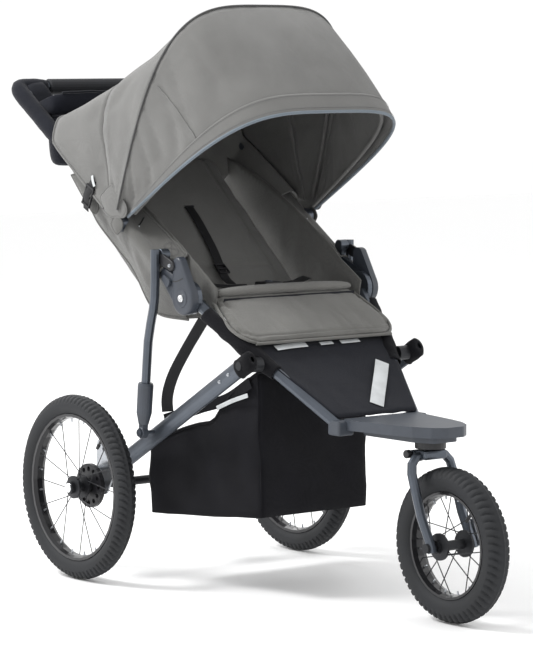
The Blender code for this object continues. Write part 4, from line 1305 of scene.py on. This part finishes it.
def tether():
    route = [(-0.205, 0.006, 0.570), (-0.210, 0.032, 0.535), (-0.210, 0.060, 0.504), (-0.211, 0.096, 0.459)]
    route += [(-0.214, 0.113, 0.424), (-0.217, 0.117, 0.396), (-0.219, 0.112, 0.372)]
    web = strap("wrist_tether", route, 0.024, 0.0016, "webbing", (0.80, -0.60, 0.0), 36)
    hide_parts("tether_strap")
    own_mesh(web)
    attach(web, "main_frame")


# Handle console


TRAY_LOOP = [(0.612, 0.998), (0.596, 0.988), (0.548, 0.986), (0.532, 0.996), (0.527, 1.024), (0.521, 1.028)]
TRAY_LOOP += [(0.514, 1.022), (0.512, 0.994), (0.524, 0.972), (0.560, 0.966), (0.606, 0.972), (0.640, 0.994)]


def console():
    """The parent console: a soft tray round the crossbar, two cup pouches and covers on the tube corners."""
    half = 0.224
    rows = []
    for i in range(61):
        share = -1 + 2 * i / 60
        x = half * share
        end = abs(share) ** 14
        near = smoothstep((abs(x) - 0.150) / 0.022)
        rear = [(0.646, 1.012), (0.634, 1.020), (0.624, 1.012)]
        wrap = [(0.6785, 1.030), (0.668, 1.0585), (0.628, 1.0500)]
        loop = [(a + (c - a) * near, b + (d - b) * near) for (a, b), (c, d) in zip(rear, wrap)]
        loop += TRAY_LOOP
        row = []
        for y, z in loop:
            wave = 0.0016 * noise.noise(Vector((x * 24.0, y * 30.0, z * 30.0)))
            depth = 0.590 + (y - 0.590) * (1 - 0.25 * end)
            row.append(Vector((x, depth, 1.004 + (z - 1.004) * (1 - 0.35 * end) + wave)))
        rows.append(row)
    tray = tube("console_tray_shell", rows, "console")
    subdivided(tray)
    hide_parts("organiser")
    dress(tray, "upper_frame")
    lip_line = [(row[8] + row[9]) / 2 + Vector((0, -0.001, 0.003)) for row in rows[3:-3]]
    lip = cable("console_lip", lip_line, 0.0024, "dark")
    dress(lip, "upper_frame")
    for key, side in SIDES.items():
        cup_pouch(key, side)
        corner_cover(key, side)


def cup_pouch(key, side):
    """A soft round pouch with a thick rim, open at the top and rounded below."""
    cx, cy, lower = side * 0.172, 0.548, 0.018
    wall = [(0.0405, 0.9930), (0.0415, 0.9780), (0.0405, 0.9450), (0.0385, 0.9150), (0.0345, 0.8950)]
    wall += [(0.0260, 0.8865), (0.0120, 0.8845), (0.0120, 0.8880), (0.0250, 0.8900), (0.0315, 0.8980)]
    wall += [(0.0350, 0.9160), (0.0370, 0.9450), (0.0375, 0.9930)]
    rings = []
    for radius, z in wall:
        ring = []
        for c, s in circle(32):
            size = radius * (1 + 0.035 * noise.noise(Vector((c * 1.6, s * 1.6, z * 22.0))))
            ring.append((cx + size * c, cy + size * 0.96 * s, z - lower))
        rings.append(ring)
    pouch = tube(f"cup_pouch_{key}", rings, "console", around=True)
    subdivided(pouch)
    dress(pouch, "upper_frame")
    rim = [Vector((cx + 0.0390 * c, cy + 0.0375 * s, 0.9935 - lower)) for c, s in circle(40)]
    dress(cable(f"cup_pouch_rim_{key}", rim, 0.0032, "dark", closed=True), "upper_frame")


def corner_cover(key, side):
    """The soft cover over the handle's corner, from the console's end round to the grip."""
    straight = (0.560, 0.600, 0.650, 0.700, 0.735)
    path = [Vector((side * 0.2315, *along_handle(distance))) for distance in straight]
    bend = ((0.2240, 0.6520, 1.0345), (0.2050, 0.6550, 1.0370), (0.156, 0.6550, 1.0370))
    path += [Vector((side * x, y, z)) for x, y, z in bend]
    rings = []
    for i, (point, across, up) in enumerate(path_frames(smooth_path(path, 44), HANDLE_NORMAL)):
        radius = 0.0185 - 0.0035 * (abs(2 * i / 43 - 1) ** 10)
        ring = []
        for c, s in circle(20):
            fold = 0.0007 * noise.noise(Vector((i * 0.5, c * 2.0, side * 3.0 + s * 2.0)))
            ring.append(point + across * c * (radius + fold) + up * s * (radius + fold))
        rings.append(ring)
    cover = grid_sheet(f"handle_corner_cover_{key}", rings, "console", closed=True)
    thicken(cover, 0.0022, -1.0)
    dress(cover, "upper_frame")


# Hinges


def teardrop(first, first_radius, second, second_radius, count=48):
    """The outline (y, z) round two discs and the band between them."""
    points = []
    for c, s in circle(count):
        reach = []
        for (y, z), radius in ((first, first_radius), (second, second_radius)):
            reach.append((y * c + z * s + radius, y + radius * c, z + radius * s))
        points.append(max(reach)[1:])
    return points


def hinge_casings():
    """Moulded casings over the fold hinges, with a raised collar round each rivet."""
    tops = (((0.0405, 0.6830), 0.0155, 0.0350, 0.0), (along_handle(0.082), 0.0150, 0.0330, -0.0022))
    layers = ((0.0, 0.2317), (0.0, 0.2435), (0.0012, 0.2466), (0.0038, 0.2482), (0.0085, 0.2488))
    rim = [(0.0, 0.2484), (0.0, 0.2496), (0.0134, 0.2498)]
    rim += [(0.0158, 0.2506), (0.0185, 0.2500), (0.0195, 0.2484)]
    head = [(0.0, 0.2330), (0.0, 0.2512), (0.0026, 0.2512), (0.0030, 0.2526), (0.0068, 0.2530)]
    head += [(0.0080, 0.2516), (0.0080, 0.2330)]
    for key, side in SIDES.items():
        bm = bmesh.new()
        for top, small, large, proud in tops:
            rings = []
            for inset, x in layers:
                outline = teardrop(FOLD_PIVOT, large - inset, top, small - inset)
                rings.append([(side * (x + proud), y, z) for y, z in outline])
            capped(bm, rings)
        casing = from_bmesh(f"hinge_casing_{key}", bm, "casing", angle=45)
        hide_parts(f"hinge_outer_{key}")
        dress(casing, "upper_frame")
        collar = revolve(f"hinge_collar_{key}", rim, "casing", 36, FOLD_PIVOT, side)
        dress(collar, "upper_frame")
        rivet = revolve(f"hinge_rivet_head_{key}", head, "chrome", 32, FOLD_PIVOT, side)
        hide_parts(f"hinge_rivet_{key}")
        dress(rivet, "main_frame")
        # A black strip along the casing's groove: painted shade inside the recess.
        groove_shade = [(side * 0.2490, y, z) for y, z in ((0.0530, 0.6480), (0.0380, 0.6490), (0.0180, 0.6560))]
        line = strap(f"hinge_groove_shadow_{key}", groove_shade, 0.0022, 0.0008, "black_plastic", (0.0, 0.2, 1.0), 10)
        dress(line, "upper_frame")
        bracket(key, side)


def bracket(key, side):
    """The black bracket between the link's top and the casing, with a small rivet."""
    rings = []
    for inset, x in ((0.0, 0.2480), (0.0, 0.2520), (0.0012, 0.2532)):
        outline = teardrop((0.0840, 0.6900), 0.0120 - inset, (0.0560, 0.6800), 0.0110 - inset, 36)
        rings.append([(side * x, y, z) for y, z in outline])
    dress(tube(f"link_bracket_{key}", rings, "black_plastic", angle=45), "upper_frame")
    bolt(f"link_bracket_rivet_{key}", side, (0.2534, 0.0580, 0.6800), 0.0030, "upper_frame", "silver")


# Wheels


def tread_depth(step, out, across, odd):
    """The tread's height over the tyre's section: shoulder blocks, a centre rib, sidewall rings."""
    lane = abs(across)
    if out > 0.30:
        tooth = (step / 6 + (0.5 if across > 0 else 0.0) + lane * 0.9) % 1.0
        if lane > 0.30:
            return -0.0028 if tooth < 0.36 else 0.0003
        return -0.0020 if lane > 0.14 else 0.0
    return -0.0002 if out > -0.25 and odd else 0.0


def tread_tyre(name, axle, x, radius, section, knobs, body):
    y, z = axle
    rings = []
    for i, (c, s) in enumerate(circle(knobs * 6)):
        ring = []
        for k, (out, across) in enumerate(circle(28)):
            size = section + tread_depth(i, out, across, k % 2) - 0.0004
            r = radius - section + size * out
            ring.append((x + size * 0.985 * across, y + r * c, z + r * s))
        rings.append(ring)
    tyre = tube(name, rings, "tyre", angle=38, around=True)
    return dress(tyre, body)


def wheels():
    tyre = tread_tyre("front_tyre_tread", FRONT_AXLE, 0.0, 0.1544, 0.0268, 60, "front_wheel")
    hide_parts("front_tyre")
    wheel_trim("front", FRONT_AXLE, 0.0, 0.1025, 16, "front_wheel")
    for key, side in SIDES.items():
        body = f"rear_wheel_{key}"
        tyre = tread_tyre(f"rear_tyre_tread_{key}", REAR_AXLE, side * WHEEL_X, 0.1965, 0.0223, 84, body)
        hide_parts(f"rear_tyre_{key}")
        wheel_trim(f"rear_{key}", REAR_AXLE, side * WHEEL_X, 0.1500, 20, body)


def wheel_trim(name, axle, x, radius, count, body):
    """Spoke nipples round the rim and one valve stem."""
    centre = Vector((x, *axle))
    bm = bmesh.new()
    for i in range(count):
        turn = 2 * math.pi * (i + 0.5) / count
        direction = Vector((0.0, math.cos(turn), math.sin(turn)))
        cone(bm, centre + direction * (radius - 0.0075), direction, 0.0016, 0.0024, 0.0100, 8)
    dress(from_bmesh(f"spoke_nipples_{name}", bm, "silver", angle=40), body)
    bm = bmesh.new()
    direction = Vector((0.0, math.cos(VALVE_TURN), math.sin(VALVE_TURN)))
    for start, length, wide in ((0.0, 0.020, 0.0032), (0.0195, 0.010, 0.0042)):
        place = centre + direction * (radius - 0.006 - start - length / 2)
        cone(bm, place, direction, wide * 0.85, wide, length, 12)
    dress(from_bmesh(f"valve_{name}", bm, "black_plastic", angle=40), body)


def bolt(name, side, place, radius, body, look="dark_metal"):
    """A domed socket-head bolt on a washer, facing out sideways."""
    x, y, z = place
    turn = Vector((side, 0, 0)).to_track_quat("Z", "Y").to_matrix()
    rings = []
    for share, height in BOLT:
        flat = [Vector((share * radius * c, share * radius * s, height)) for c, s in circle(18)]
        rings.append([Vector((side * x, y, z)) + turn @ point for point in flat])
    dress(tube(name, rings, look, angle=35), body)


def hardware():
    """Bolts on the legs and hinges, and the black cloth on the legs' tops and the front tubes."""
    for key, side in SIDES.items():
        for number, (y, z) in enumerate(((-0.1120, 0.4690), (-0.0830, 0.4520))):
            bolt(f"leg_rivet_{key}{number}", side, (0.2320, y, z), 0.0030, "rear_frame", "silver")
        leg_cap(key, side)
        for number, distance in enumerate((0.062, 0.100)):
            place = (0.2480, *along_handle(distance))
            bolt(f"bracket_bolt_{key}{number}", side, place, 0.0040, "upper_frame")
        tube_wrap(key, side)


# The boot's profile: distance down the leg, and width as a share
BOOT = ((0.0, 0.30), (0.0015, 0.75), (0.0060, 1.02), (0.0200, 1.05), (0.0440, 1.0), (0.0465, 1.04))


def leg_cap(key, side):
    """The black cloth boot over the top end of a rear leg, where it meets the pivot bar."""
    down, over = Vector((0.0, 0.867, -0.4983)), Vector((0.0, 0.4983, 0.867))
    start = Vector((side * 0.2195, *LEG_PIVOT)) - down * 0.0300
    rings = []
    for along, scale in BOOT:
        ring = []
        for c, s in circle(28):
            wave = 1 + 0.05 * noise.noise(Vector((c * 2.0, s * 2.0, along * 90.0)))
            across = side * 0.0148 * c * scale * wave
            ring.append(start + down * along + Vector((across, 0, 0)) + over * (0.0205 * s * scale * wave))
        rings.append(ring)
    boot = grid_sheet(f"rear_leg_boot_{key}", rings, "black", closed=True)
    thicken(boot, 0.0010, -1.0)
    dress(boot, "rear_frame")


def tube_wrap(key, side):
    """Black cloth laced round the upper part of the front tube."""
    end = Vector((side * FRONT_TUBE_END[0], *FRONT_TUBE_END[1:]))
    start = Vector((side * HANDLE_X, *FOLD_PIVOT))
    path = [start.lerp(end, share) for share in (0.13, 0.22, 0.30, 0.38, 0.46, 0.54, 0.60)]
    rings = []
    for i, (point, across, up) in enumerate(path_frames(smooth_path(path, 40))):
        bulge = 0.0035 * math.exp(-(((i - 24) / 9) ** 2))
        ring = []
        for c, s in circle(16):
            swell = 0.0158 + bulge + 0.0022 * noise.noise(Vector((i * 0.22, c * 2.0, s * 2.0)))
            ring.append(point + across * c * swell + up * s * swell)
        rings.append(ring)
    wrap = grid_sheet(f"front_tube_wrap_{key}", rings, "black", closed=True)
    thicken(wrap, 0.0012, -1.0)
    dress(wrap, "main_frame")


def main():
    camera()
    studio()
    floor()
    dress_nodes()
    canopy()
    seat_back()
    back_liner()
    seat_base()
    leg_flap()
    calf_panel()
    seat_sides()
    pivot_covers()
    harness()
    basket()
    tether()
    console()
    hinge_casings()
    wheels()
    hardware()


main()
